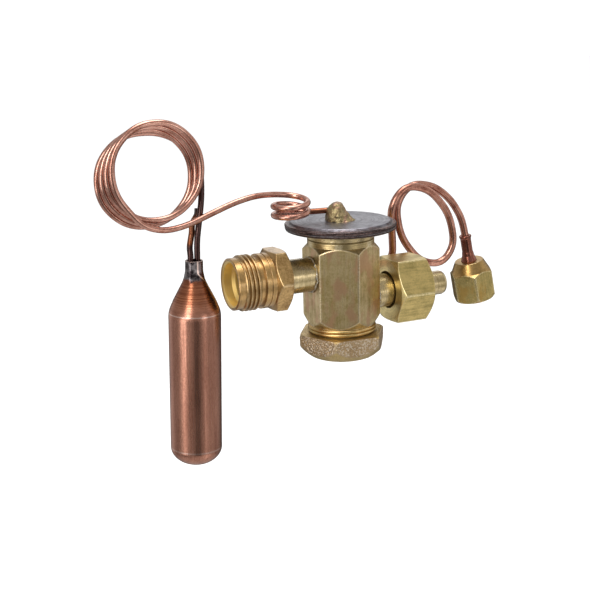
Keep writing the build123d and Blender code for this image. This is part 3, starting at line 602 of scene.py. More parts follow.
def metal(
    name,
    light,
    dark,
    marks,
    rough,
    cut=None,
    lathed=2.0,
    cloud=0.25,
    rub_and_glint=0.35,
    speck=1.5,
    fleck=0.0,
    grain=0.0,
    depth=0.006,
    bore=None,
    blush=None,
    film=0.0,
):
    """Bare worked metal: marks of its making, uneven dulling, ridges rubbed bright under a painted
    highlight, and creases darkened as painted shade.

    marks is the fineness of the drawn or milled marks along the piece's own three axes, per
    millimetre, and lathed that of the rings where it was turned. cut is the colour of the
    turned places, cloud the fineness of the dulled patches and speck that of the small spots,
    wear how far ridges are rubbed bright and lit by a painted highlight, fleck the share of
    bright flecks on the flats, grain the fineness of a rough skin, bore the radius of a bore
    with a bright colour painted in it as light, blush a second colour that shows in patches,
    and film the share of a film of oil, for a white glint.
    """
    made, tree, surface = blank(name)
    own, edge = note(tree, "own", "Vector"), note(tree, "edge")
    turned, scorch = note(tree, "turned"), note(tree, "scorch")
    folded, _, reach = rings(own)
    drawn = pattern(own, marks, 4.0, 0.6)
    lines = between(turned, drawn, pattern(folded, lathed, 3.0, 0.7))
    clouds = pattern(own, cloud, 5.0, 0.65)
    small = pattern(own, speck, 3.0, 0.6)
    dull = remap(clouds, 0.36, 0.64) * 0.75
    share = dull + remap(lines, 0.4, 0.64, -0.2, 0.3) + remap(small, 0.4, 0.64, -0.14, 0.2)
    # painted shade: creases and thread roots, where the edge note is below zero, are darkened towards
    # the dull colour
    share = share + remap(edge, -0.7, 0.0, 1.0, 0.0) * 0.7
    base = mix(remap(share, 0.0, 1.0), light, dark)
    if blush:
        patches = pattern(own, (cloud * 0.7, cloud * 0.9, cloud * 0.5), 3.0, 0.5)
        base = mix(remap(patches, 0.5, 0.62, 0.0, 0.75), base, blush)
    if cut:
        fresh = mix(remap(share, 0.1, 0.9), cut, scaled(cut, 0.6))
        base = mix(turned * 0.85, base, fresh)
    flat = 1.0 - turned
    if fleck:
        spots = remap(small, 0.5, 0.58, 0.0, fleck) * flat
        base = mix(spots, base, paled(light, 0.5))
    # painted light: inside the bore's radius the colour turns to a bright yellow, brighter than bare
    # brass, standing in for light in the shaded bore; the bore is made rougher too
    if bore:
        bore_light_mask = remap(reach, bore[0] - 0.1, bore[0], 0.95, 0.0)
        base = mix(bore_light_mask, base, bore[1])
    # painted highlight: ridges and corners, where the edge note is above zero, turn towards white in
    # broken lines, as rubbed metal with a glint of light painted over it
    rubbed_glint_band = remap(edge, 0.2, 0.75) * rub_and_glint * remap(small, 0.42, 0.56, 1.0, 0.35)
    base = mix(rubbed_glint_band, base, paled(light, 0.62))
    warmed = scorch + remap(clouds, 0.3, 0.7, -0.2, 0.2)
    tint = mix(remap(warmed, 0.5, 0.85), linear("#8f5434"), linear("#35292a"))
    base = mix(remap(warmed, 0.22, 0.45, 0.0, 0.92), base, tint)
    level = remap(lines, 0.3, 0.7, *rough) + dull * 0.1
    if bore:
        level = level + bore_light_mask * 0.24
    skin = small * 0.6
    if grain:
        skin = pattern(own, grain, 2.0, 0.5) * 2.0
    dress(surface, base, level, lines + skin * flat, depth)
    surface.inputs["Coat Weight"].default_value = film
    surface.inputs["Coat Roughness"].default_value = 0.12
    return made


def disc_steel(light, tint, brazed):
    """Stainless cover: scratched rings on its face, heat tint at the weld, braze over its hub, painted
    shade in its creases and a painted highlight on its ridges.
    """
    made, tree, surface = blank("heat_tinted_stainless")
    own, edge = note(tree, "own", "Vector"), note(tree, "edge")
    folded, parts, reach = rings(own)
    fine = pattern(folded, 1.3, 4.0, 0.75)
    blotch = pattern(own, 0.24, 5.0, 0.62)
    speck = pattern(own, 1.7, 3.0, 0.6)
    scratch = pattern(own, (0.3, 0.9, 1.0), 5.0, 0.7)
    streaks = pattern(own, (0.12, 0.12, 1.7), 3.0, 0.6)
    burnt = remap(reach + blotch * 2.6, 19.7, 21.0)
    stained = remap(blotch, 0.42, 0.62, 0.0, 0.45)
    shade = mix(stained, light, [c * f for c, f in zip(light, (0.55, 0.5, 0.52))])
    lines = remap(fine, 0.42, 0.6, 0.0, 0.5)
    marked = lines + remap(scratch, 0.5, 0.6, 0.0, 0.55)
    shade = mix(marked, shade, scaled(light, 0.25))
    scorched = mix(remap(speck, 0.46, 0.56), tint, [c * 2.6 + 0.05 for c in tint])
    sooty = remap(streaks, 0.44, 0.54, 0.0, 0.85)
    shade = mix(burnt, shade, mix(sooty, scorched, scaled(tint, 0.35)))
    # painted shade: creases, where the edge note is below zero, are darkened towards the tint
    shade = mix(remap(edge, -0.5, -0.05, 0.85, 0.0), shade, scaled(tint, 0.5))
    # painted highlight: ridges are drawn towards white in broken lines
    lit = remap(edge, 0.15, 0.6) * remap(speck, 0.42, 0.56, 0.9, 0.35)
    shade = mix(lit, shade, paled(light, 0.4))
    hub = remap(reach, 13.6, 16.2, 1.0, 0.0) * remap(parts[2], 16.6, 16.9, 1.0, 0.0)
    run = mix(remap(blotch, 0.42, 0.6), brazed, scaled(brazed, 0.5))
    run = mix(remap(speck, 0.52, 0.62, 0.0, 0.6), run, paled(brazed, 0.7))
    level = remap(fine, 0.3, 0.7, 0.24, 0.4) + stained * 0.16
    height = fine + speck * 0.5 + scratch * 0.7
    dress(surface, mix(hub, shade, run), level, height, 0.13)
    return made


def bulb_metal(light, dark, grey):
    """Drawn copper: long fine lines, turned rings on the shoulder, a neck left grey by heat, and
    painted highlight lines on its ridges.
    """
    made, tree, surface = blank("drawn_bulb_copper")
    own, edge = note(tree, "own", "Vector"), note(tree, "edge")
    folded, parts, _ = rings(own)
    height = parts[2]
    drawn = pattern(own, (1.6, 1.6, 0.05), 4.0, 0.6)
    grit = pattern(own, (1.6, 1.6, 1.3), 3.0, 0.6)
    turned = pattern(folded, (0.05, 0.05, 1.9), 3.0, 0.75)
    shoulder = remap(height, -20.6, -20.2)
    chosen = between(shoulder, drawn, turned)
    clouds = pattern(own, (0.2, 0.2, 0.04), 4.0, 0.55)
    share = remap(clouds, 0.35, 0.65, 0.0, 0.45)
    share = remap(chosen, 0.4, 0.62, 0.0, 0.28) + share + remap(grit, 0.4, 0.65, -0.12, 0.2)
    base = mix(remap(share, 0.0, 1.0), light, dark)
    burn = pattern(own, 0.3, 4.0, 0.6)
    drift = height + (burn - 0.5) * 6.0
    ring = remap(turned, 0.4, 0.56)
    amber = mix(ring, linear("#b2714e"), linear("#7c4429"))
    base = mix(remap(drift, -19.8, -13.0, 0.0, 0.85), base, amber)
    patch = mix(remap(burn, 0.4, 0.56), grey, linear("#2e2628"))
    singed = remap(drift, -9.4, -7.4)
    base = mix(singed * 0.5, base, linear("#5a2e20"))
    neck = remap(drift, -7.4, -6.6)
    browned = remap(parts[0], 0.6, 2.2, 0.0, 0.8) * neck
    base = mix(browned, mix(neck, base, patch), linear("#6b4438"))
    # painted highlight: pale lines where the edge note is raised, at the foot of the cone, where the
    # dome begins, on the profile's ridges and down the crimp
    base = mix(remap(edge, 0.08, 0.45, 0.0, 0.95), base, linear("#ecd0c4"))
    level = remap(chosen, 0.3, 0.7, 0.2, 0.31) + grit * 0.05
    dress(surface, base, level, chosen + grit * 0.7, 0.03)
    return made


def plain(name, light, dark, rough, metallic=0.0, scale=0.6):
    """A dull material with a slight mottle."""
    made, tree, surface = blank(name)
    place = add(tree, "ShaderNodeTexCoord")["Object"]
    mottle = pattern(place, scale / MM, 3.0, 0.6)
    mix(remap(mottle, 0.3, 0.7), light, dark).feed(surface.inputs["Base Color"])
    remap(mottle, 0.3, 0.7, rough, rough + 0.12).feed(surface.inputs["Roughness"])
    surface.inputs["Metallic"].default_value = metallic
    return made


def finishes():
    """Every material of the part, made once."""
    known = bpy.context.scene.get("valve_finishes_made")
    if known:
        return {k: bpy.data.materials[v] for k, v in known.items()}
    c = bpy.context.scene.valve_colours
    light = {n: list(getattr(c, n)) for n in ValveColours.__annotations__}
    lengthways = (1.8, 1.8, 0.05)
    made = {
        # drawn bar: fine lines along it, dulled to olive, golden where its ends were turned
        "body": metal(
            "olive_brass_bar", light["olive_brass"], light["olive_dark"], (1.6, 1.6, 0.05),
            (0.24, 0.38), cut=linear("#cdb683"), rub_and_glint=0.7, depth=0.016, blush=linear("#bb9270"),
        ),
        # freshly turned collar: fine rings, hardly dulled
        "collar": metal(
            "bright_turned_brass", linear("#e6c184"), light["nut_dark"], 0.3, (0.24, 0.32),
            lathed=1.2, cloud=0.12,
        ),
        # blasted forging: pitted all over, smooth and golden where its foot was faced
        "cap": metal(
            "blasted_brass", light["forged"], light["forged_dark"], 1.9, (0.3, 0.44),
            cut=linear("#cdb277"), cloud=0.1, speck=1.6, fleck=1.0, grain=1.4, depth=0.24,
        ),
        # turned fitting: warm, with rings, thread roots browned as painted shade, a bore painted bright
        # as painted light, and an oily glint
        "inlet": metal(
            "golden_turned_brass", light["gold_brass"], light["gold_dark"], 1.0, (0.24, 0.34),
            cut=linear("#bd955a"), cloud=0.18, bore=(8.6, linear("#ffe494")), rub_and_glint=0.6, film=0.6,
        ),
        # stub pipe: rings from turning, a little greyer
        "pipe": metal(
            "turned_pipe_brass", light["olive_brass"], light["olive_dark"], 0.4, (0.2, 0.3),
            lathed=2.6, depth=0.003, film=0.8,
        ),
        # satin nut: yellow-green with faint lines along its flats, edges rubbed bright and lit by a
        # painted highlight
        "nut": metal(
            "satin_nut_brass", light["nut_brass"], light["nut_dark"], (1.2, 1.2, 0.08),
            (0.26, 0.38), cut=linear("#f2dfa0"), cloud=0.15, rub_and_glint=1.0, depth=0.01,
        ),
        # small nut: more golden, with corners rubbed bright under a painted highlight, and a freshly
        # turned cone
        "flare": metal(
            "flare_nut_brass", light["nut_brass"], light["nut_dark"], (1.5, 1.5, 0.05), (0.2, 0.32),
            cut=linear("#b8925a"), cloud=0.3, rub_and_glint=1.0, depth=0.012, blush=linear("#c09a52"),
        ),
        # cooled braze: rough, mottled green and brown with coppery patches
        "mound": metal(
            "mottled_braze", light["braze"], light["braze_dark"], 0.8, (0.3, 0.44), cloud=0.45,
            speck=1.1, grain=1.2, depth=0.16, blush=linear("#b8907c"),
        ),
        # silver braze: bright, ragged and uneven
        "silver": metal(
            "silver_braze", light["silver"], light["olive_dark"], 1.2, (0.2, 0.36), cloud=0.9,
            grain=1.6, depth=0.08,
        ),
        # stainless covers: grey and scratched, brown along the weld, brazed over the hub
        "disc": disc_steel(light["steel"], light["steel_tint"], light["olive_brass"]),
        # spotless drawn tube: long fine lines and slow changes of tone, scorched beside the mound's
        # braze and darker along its drop from the coil to the bulb
        "capillary": metal(
            "drawn_capillary_copper", light["copper"], light["copper_dark"], lengthways,
            (0.14, 0.24), cloud=0.12,
        ),
        # short tube browned when the bulb was brazed
        "filler": metal(
            "browned_copper", linear("#a86e50"), linear("#5f3626"), lengthways, (0.2, 0.3),
            cloud=0.14,
        ),
        # older tube: darker and redder
        "equaliser": metal(
            "aged_equaliser_copper", light["old_copper"], light["old_copper_dark"],
            (1.6, 1.6, 0.05), (0.15, 0.25), cloud=0.14, cut=light["old_copper_dark"],
        ),
        # drawn bulb: long lines, rings on its cone, grey where its neck was crimped and brazed
        "bulb": bulb_metal(light["bulb_copper"], light["bulb_dark"], light["neck_grey"]),
        # ground steel of the inner pieces
        "steel": plain("ground_steel", linear("#b8b8ba"), linear("#8c8c90"), 0.25, 1.0),
        # soft metal gaskets, dull from pressing
        "gasket": plain("dull_gasket_metal", linear("#8f7c52"), linear("#6a5836"), 0.45, 1.0),
        # rubber ring: black and matt
        "rubber": plain("black_rubber", linear("#1c1c1d"), linear("#2a2a2b"), 0.6),
        # white packing
        "packing": plain("white_packing", linear("#e4e2da"), linear("#cfccc2"), 0.6),
        # woven strainer seen as a dark grey screen
        "screen": plain("strainer_steel", linear("#77767a"), linear("#3f3e42"), 0.4, 1.0, 4.0),
        # brass of the inner turned pieces
        "inner_brass": plain("inner_brass", light["gold_brass"], light["nut_dark"], 0.28, 1.0),
    }
    bpy.context.scene["valve_finishes_made"] = {k: m.name for k, m in made.items()}
    return made


# Operators


class VALVE_OT_body(bpy.types.Operator):
    """Body bar, lower collar and forged cap"""

    bl_idname = "valve.body"
    bl_label = "Body and cap"

    def execute(self, context):
        s, finish = Sizes(context.scene.valve_body), finishes()
        corner = s.across / sqrt(3)
        slope = corner - s.neck
        bar = Form()
        outline = [
            (s.bottom, 0), (s.bottom, s.neck), (s.corner_bottom - 1.5 * slope, s.neck),
            (s.corner_bottom, corner), (s.corner_top, corner), (s.corner_top + slope, s.neck),
            (s.neck_top, s.neck), (s.neck_top, 0),
        ]
        lathe(bar, outline, upright(), flats=(s.across, 30.0, 0.35), step=0.4, soft=0.2)
        bar.piece("body_bar", "valve", ["valve_body"], "body_brass", finish["body"])

        collar = Form()
        bead, half = s.collar_height / 2, s.collar_height / 4
        low, sleeve_low = s.bottom - s.collar_height, -28.4
        sleeve, sleeve_bore = 9.85, 5.02
        profile = [(low, sleeve + 0.05), (low, s.collar - half)]
        for k in range(2):
            middle = low + bead * (k + 0.5)
            profile += [
                (middle + half * sin(a), s.collar - half + half * cos(a))
                for a in np.radians(range(-80, 81, 16))
            ]
        profile += [(s.bottom, s.collar - half), (s.bottom, sleeve + 0.05)]
        lathe(collar, profile, upright(), soft=0.05, closed=True)
        wall = [(sleeve_low, sleeve_bore), (sleeve_low, sleeve - 0.05), (low, sleeve)]
        lathe(collar, [*wall, (low, sleeve_bore)], upright(), soft=0.3, closed=True)
        collar.piece("collar", "valve", ["adjuster_housing"], "collar_brass", finish["collar"])

        cap = Form()
        corner = s.cap_across / sqrt(3)
        side, ceiling, chamfer, bore = s.cap_top - 3.8, -28.7, 0.8, 9.98
        profile = [(s.cap_bottom, 0), (s.cap_bottom, s.cap_foot - 0.4)]
        for t in np.arange(1, 11) / 10:
            bulge = 1.4 * t * (1 - t)
            height = s.cap_bottom + (side - s.cap_bottom) * t - bulge
            profile.append((height, s.cap_foot + (corner - s.cap_foot) * t + bulge))
        profile += [(s.cap_top - chamfer, corner), (s.cap_top, corner - chamfer)]
        profile += [(s.cap_top, bore), (ceiling, bore), (ceiling, 0)]
        lathe(cap, profile, upright(), flats=(s.cap_across, -4.5, 0.6), step=0.4, soft=0.3)
        cap.points[0] = roughen(cap.points[0], 0.9, 0.05)
        cap.piece("forged_cap", "cap", ["seal_cap"], "cap_brass", finish["cap"])
        return {"FINISHED"}


class VALVE_OT_head(bpy.types.Operator):
    """Welded disc, its hub and the braze mound"""

    bl_idname = "valve.head"
    bl_label = "Power head"

    def execute(self, context):
        s, finish = Sizes(context.scene.valve_head), finishes()
        neck = Sizes(context.scene.valve_body).neck
        hub = Form()
        fillet, hub_bore, hole = 1.58, 10.0, 0.75
        quarter = np.radians(range(0, 91, 10))
        under = [
            (s.hub_bottom, hub_bore), (s.hub_bottom, neck),
            *[(s.under - fillet * (1 - sin(a)), neck + fillet * (1 - cos(a))) for a in quarter],
            (s.under, s.radius - 1.3), (s.under + 0.3, s.radius - 0.5),
            (s.seam - 0.3, s.radius - 0.15), (s.seam, s.radius - 0.3), (s.seam, hub_bore),
        ]
        lathe(hub, under, upright(), soft=0.12, closed=True, turns=144)
        hub.piece("head_hub", "valve", ["head_lower_cover"], "head_steel", finish["disc"])

        def weld(along, reach, edge, angles):
            """Pushes the rim in between the beads of its weld."""
            scallop = 0.12 * np.abs(np.sin(angles * 62 + 0.7 * np.sin(angles * 9)))
            scallop += 0.08 * (1 + np.sin(angles * 11 + 2 * np.sin(angles * 5))) / 2
            rim = held((reach - (s.radius - 0.6)) / 0.4)
            # the edge note drops between the weld's beads, where the material paints shade
            return reach - scallop * rim, edge - 0.5 * scallop * rim

        disc = Form()
        step = s.plateau - s.rim_top
        over = [
            (s.seam + 0.05, hole), (s.seam + 0.05, s.radius - 0.25),
            (s.seam + 0.35, s.radius - 0.02), (s.rim_top - 0.45, s.radius - 0.02),
            (s.rim_top - 0.1, s.radius - 0.35), (s.rim_top, s.plateau_radius + 0.25),
            (s.rim_top - 0.12, s.plateau_radius + 0.1), (s.rim_top, s.plateau_radius - 0.1),
            (s.plateau, s.plateau_radius - 0.1 - step), (s.plateau, hole),
        ]
        lathe(disc, over, upright(), soft=0.09, closed=True, turns=480, carve=weld)
        disc.piece(
            "head_disc", "valve", ["head_upper_cover", "diaphragm"], "head_steel", finish["disc"]
        )

        mound = Form()
        heights_at = [0.0, 0.06, 0.3, 0.62, 0.86, 0.97, 1.0]
        widths_at = [1.0, 1.0, 0.92, 0.7, 0.46, 0.26, 0.0]
        angles = circle(96)
        up = np.linspace(0, 1, 48)[:, None]
        hollow = 1.2 * held(np.cos(angles + 0.4)) * up * (1 - up)
        reach = np.interp(up, heights_at, widths_at) * (s.lump_radius - 0.25) * (1 - hollow)
        level = s.plateau + (s.lump_height - 0.2) * up + 0 * angles
        own = np.stack([reach * np.cos(angles) + s.lump_lean * up, reach * np.sin(angles), level], -1)
        own = roughen(roughen(own, 2.4, 0.45), 1.0, 0.16)
        own[:2, :, 2] = s.plateau + 0.01
        mound.sheet(moved(upright(), own), own)
        mound.piece("braze_mound", "valve", ["braze_lump"], "braze_gold", finish["mound"])
        return {"FINISHED"}


def chamfered(start, end, across, face_start, face_end, bore):
    """Closed profile of a nut's hexagon with 30 degree chamfers and a bore."""
    corner = across / sqrt(3)
    slope = tan(radians(30))
    return [
        (start, bore),
        (start, face_start),
        (start + (corner - face_start) * slope, corner),
        (end - (corner - face_end) * slope, corner),
        (end, face_end),
        (end, bore),
    ]


class VALVE_OT_inlet(bpy.types.Operator):
    """Threaded inlet fitting with its hexagon, the stub pipe and its braze"""

    bl_idname = "valve.inlet"
    bl_label = "Inlet"

    def execute(self, context):
        s, finish = Sizes(context.scene.valve_ends), finishes()
        mouth, lead, relief, collar = -45.0, -42.4, -36.0, -34.4
        groove, hexagon, end = -32.7, -30.5, -24.3
        seat, bore, undercut, shoulder = 7.9, 6.9, 9.1, -32.2

        def thread(along, reach, edge, angles):
            """Cuts the helical thread, which fades out at both of its ends."""
            inside = (along > lead + 0.1) & (along < relief) & (reach > s.mouth - 0.6)
            turn = (along - lead) / s.pitch - angles / (2 * pi)
            wave = np.abs((turn % 1.0) - 0.5) * 2
            tooth = held((wave - 0.22) / 0.5)
            tooth = tooth * tooth * (3 - 2 * tooth)
            fade = held(along - lead) * held((relief - along) / 0.9)
            shaped = s.thread_root + (s.thread - s.thread_root) * (1 - tooth) * fade
            # the edge note is above zero on the crests, painted bright as a highlight, and below zero
            # in the roots, painted dark as shade
            return np.where(inside, shaped, reach), np.where(inside, 0.6 - 1.56 * tooth, edge)

        fitting = Form()
        front = [
            (relief, bore), (lead + 2.2, bore), (lead + 1.2, seat), (mouth + 0.6, seat),
            (mouth, s.mouth - 0.75), (mouth, s.mouth - 0.3), (mouth + 0.3, s.mouth),
            (lead, s.mouth), (lead + 0.05, s.thread_root), (relief, s.thread_root),
        ]
        lathe(fitting, front, along_x(), soft=0.12, closed=False, step=0.1, turns=160, carve=thread)
        rear = [
            (relief, s.thread_root), (relief + 0.05, undercut), (collar, undercut),
            (collar, s.collar), (groove, s.collar), (groove, s.collar - 0.35),
            (shoulder, s.collar - 0.35), (shoulder, s.collar), (hexagon, s.collar), (hexagon, bore),
        ]
        lathe(fitting, rear, along_x(), soft=0.15)
        inside = [(relief, bore), (shoulder, bore), (shoulder, s.bore + 0.35), (end, s.bore + 0.35)]
        lathe(fitting, inside, along_x(), soft=0.1)
        ring = chamfered(hexagon, end, s.hexagon, s.collar, s.hexagon / 2 - 0.05, s.pipe + 0.02)
        lathe(fitting, ring, along_x(), flats=(s.hexagon, 90.0, 0.3), step=0.35, soft=0.15, closed=True)
        fitting.piece("inlet_fitting", "valve", ["inlet_adapter"], "inlet_brass", finish["inlet"])

        stub = Form()
        outer, inner = -29.3, -10.2
        wall = [(outer, s.bore), (outer, s.pipe), (inner, s.pipe), (inner, s.bore)]
        lathe(stub, wall, along_x(), closed=True)
        stub.piece("inlet_stub", "valve", ["inlet_pipe"], "pipe_brass", finish["pipe"])
        seam("inlet_braze", -1, 0.0, "inlet_seam")
        return {"FINISHED"}


def seam(name, way, height, node):
    """Ragged ring of silver braze where a stub pipe enters the body."""
    ends, finish = Sizes(bpy.context.scene.valve_ends), finishes()
    face = Sizes(bpy.context.scene.valve_body).across / 2 * way
    angles, around = circle(240), circle(14)
    width = 0.85 + 0.32 * np.sin(angles * 3 + 1) * np.sin(angles * 7) + 0.12 * np.sin(angles * 19)
    tall = 0.55 + 0.18 * np.sin(angles * 5 + 2) + 0.1 * np.sin(angles * 13)
    along = face + way * (0.35 + width[None] * (0.5 + 0.5 * np.cos(around)[:, None]))
    reach = ends.pipe - 0.1 + tall[None] * (0.5 + 0.5 * np.sin(around)[:, None])
    own = np.stack([reach * np.cos(angles), reach * np.sin(angles), along - way * 0.35], -1)
    own = roughen(own, 0.7, 0.07)
    ring = Form()
    ring.sheet(moved(along_x(height), own), own, wrap_rows=True)
    ring.piece(name, "valve", [node], "braze_silver", finish["silver"])


class VALVE_OT_outlet(bpy.types.Operator):
    """Outlet stub with its flange and pilot, and the union nut"""

    bl_idname = "valve.outlet"
    bl_label = "Outlet and union nut"

    def execute(self, context):
        s, finish = Sizes(context.scene.valve_ends), finishes()
        place = along_x(-s.drop)
        flange = s.nut_start + 3.25
        seat, land = flange + 5.6, flange + 7.45
        inner, bore, collar, waist, groove = 10.2, 3.2, 9.1, 7.85, 4.1
        tail = Form()
        profile = [
            (inner, bore), (inner, s.pipe), (flange, s.pipe), (flange, collar),
            (flange + 2.4, collar), (flange + 3.65, waist), (seat, waist), (seat, groove),
            (land, groove), (land, s.pilot), (s.pilot_reach - 1.4, s.pilot),
            (s.pilot_reach - 0.42, s.pilot - 0.42), (s.pilot_reach, s.pilot - 1.4),
            (s.pilot_reach, bore),
        ]
        lathe(tail, profile, place, closed=True, soft=0.2, step=0.8)
        tail.piece("outlet_stub", "valve", ["outlet_tail"], "pipe_brass", finish["pipe"])
        seam("outlet_braze", 1, -s.drop, "outlet_seam")

        def inner_thread(along, reach, edge, angles):
            """Cuts the nut's own thread into its bore."""
            inside = (along > start + 3.6) & (along < end - 0.9) & (np.abs(reach - 9.55) < 0.25)
            turn = along / s.pitch - angles / (2 * pi)
            wave = np.abs((turn % 1.0) - 0.5) * 2
            # the edge note swings from ridge to crease across each turn, painted bright as a highlight
            # and dark as shade
            return np.where(inside, reach + 0.55 * wave, reach), np.where(inside, 0.5 - wave, edge)

        nut = Form()
        start, end = s.nut_start, s.nut_start + s.nut_length
        hole, bore, mouth, wall = 7.2, 9.6, 10.4, start + 3.2
        ring = chamfered(start, end, s.nut, 11.7, 11.5, mouth)
        shape = [(start, hole), *ring[1:], (end - 0.8, bore), (wall, bore), (wall, hole)]
        flats = (s.nut, 90.0, 0.35)
        lathe(nut, shape, place, flats=flats, step=0.3, soft=0.2, closed=True, carve=inner_thread)
        nut.piece("captive_nut", "outlet_nut", ["union_nut"], "nut_brass", finish["nut"])
        return {"FINISHED"}


class VALVE_OT_capillary(bpy.types.Operator):
    """Capillary tube with its two coils, and the pinched charging tube"""

    bl_idname = "valve.capillary"
    bl_label = "Capillary"

    def execute(self, context):
        s, finish = Sizes(context.scene.valve_tubes), finishes()
        route = [from_axis(-1.9, 2.2, 22.9), from_axis(-12.0, 5.6, 22.5)]
        for turn, c, u in coil(0, 2 * COIL_CORNERS, 90, 1):
            height = 22.4 + 3.3 * turn + s.small_tilt * u / COIL_SPREAD
            route.append(from_axis(-20.2 + s.small_coil * c, s.small_coil * u, height))
        sweep = [(-24.5, 5.9, 30.3), (-32.0, 4.6, 30.6), (-40.5, 3.0, 29.3)]
        route += [from_axis(*p) for p in sweep]
        near = [(-6.1, 1.1, 26.4), (-16.1, -0.8, 23.4), (-24.6, -2.0, 22.4), (-32.6, -2.3, 24.8)]
        route += [Vector(p) for p in near]
        middle, drift = Vector((-25.4, -2.4, 44.1)), Vector((-1.14, 2.4, -1.36))
        for turn, c, u in coil(1, int(STORED_TURNS * COIL_CORNERS), 270, -1):
            route.append(middle + drift * turn + Vector((c, 0, u)) * s.large_coil)
        drop = [(-20.2, 5.9, 56.0), (-8.0, 5.4, 45.5), (-8.1, 4.6, 33.0)]
        drop += [(-10.0, 3.6, 23.4), (-11.3, 3.1, 17.0)]
        route += [Vector(p) for p in drop]
        place = bulb_place()
        route += [place @ Vector((1.25, 0, 2.6)), place @ Vector((1.25, 0, -6.6))]

        def scorched(along):
            """Dark beside the mound, and from the coil down to the bulb."""
            from_bulb = along[-1] - along
            return np.maximum(0.62 * held((14 - along) / 3), held((46 - from_bulb) / 14))

        line = tube(route, s.capillary, scorch=scorched)
        line.piece(
            "capillary_line", "valve", ["capillary_tube"], "capillary_copper", finish["capillary"]
        )

        short = [place @ Vector((-1.25, 0, -6.6)), place @ Vector((-1.25, 0, 2.0))]
        short += [Vector(p) for p in ((-13.8, 4.5, 14.2), (-12.6, 5.5, 18.0), (-11.1, 5.9, 23.6))]
        short.append(short[-1] + (short[-1] - short[-2]).normalized() * 4.5)

        def pinch(along):
            """Squeezes the last stretch flat."""
            share = held((along - along[-1] + 4.6) / 2.3)
            return 1 + 0.5 * share, 1 - 0.46 * share

        def singed(along):
            """Dark at the bulb and at the pinched end."""
            return np.maximum(held((15 - along) / 4), 0.75 * held((along - along[-1] + 5) / 2))

        filler = tube(short, s.capillary, passes=4, shape=pinch, scorch=singed)
        filler.piece("filling_tube", "valve", ["charge_tube"], "capillary_copper", finish["filler"])
        return {"FINISHED"}


class VALVE_OT_bulb(bpy.types.Operator):
    """Sensing bulb with its shoulder and crimped neck"""

    bl_idname = "valve.bulb"
    bl_label = "Sensing bulb"

    def execute(self, context):
        s, finish = Sizes(context.scene.valve_tubes), finishes()
        top = -s.neck_length - s.shoulder
        foot = top - s.bulb_length
        knots = [
            (0.0, 3.2), (-3.9, 3.25), (-6.4, 3.75), (-8.0, 4.35), (-11.3, 6.05), (-14.6, 7.75),
            (-17.8, 9.1), (-19.4, 9.46), (top, s.bulb),
        ]
        heights = np.linspace(0, top, 60)
        flow = np.interp(heights, [k[0] for k in knots][::-1], [k[1] for k in knots][::-1])
        for _ in range(3):
            flow[1:-1] = (flow[:-2] + 2 * flow[1:-1] + flow[2:]) / 4
        profile = [(-7.2, 2.65), (-0.15, 2.65)]
        profile += zip(heights, flow)
        for a in radians(90) * np.arange(1, 17) / 16:
            profile.append((foot - s.dome * sin(a), max(s.bulb * cos(a), 0)))

        def crimp(along, reach, edge, angles):
            """Flattens the neck, most at its mouth, and raises the edge note for painted highlight
            lines: a ring at the foot of the cone, a ring where the dome begins and a line down the
            crimp.
            """
            share = held((along + 7.6) / 4.5)
            half = np.where(reach > 2.9, 2.65, 2.1)
            flat = np.minimum(reach, half / np.maximum(np.abs(np.sin(angles)), 0.05))
            # painted highlight rings and line: these raise only the edge note, not the shape
            step = 0.5 * np.exp(-(((along - top - 1.3) / 0.16) ** 2))
            step += 0.3 * np.exp(-(((along - foot) / 0.16) ** 2))
            way = radians(-81) + radians(50) * held((-4.5 - along) / 3.5)
            fold_glint = np.exp(-((np.sin((angles - way) / 2) * 2 * reach / 0.28) ** 2))
            fold_glint *= held((along + 13) / 2)
            return reach + (flat - reach) * share, edge + step + 0.8 * fold_glint

        bulb = Form()
        lathe(bulb, profile, bulb_place(), turns=144, soft=0.12, step=0.6, carve=crimp)
        bulb.piece("bulb_shell", "valve", ["sensing_bulb"], "bulb_copper", finish["bulb"])
        return {"FINISHED"}


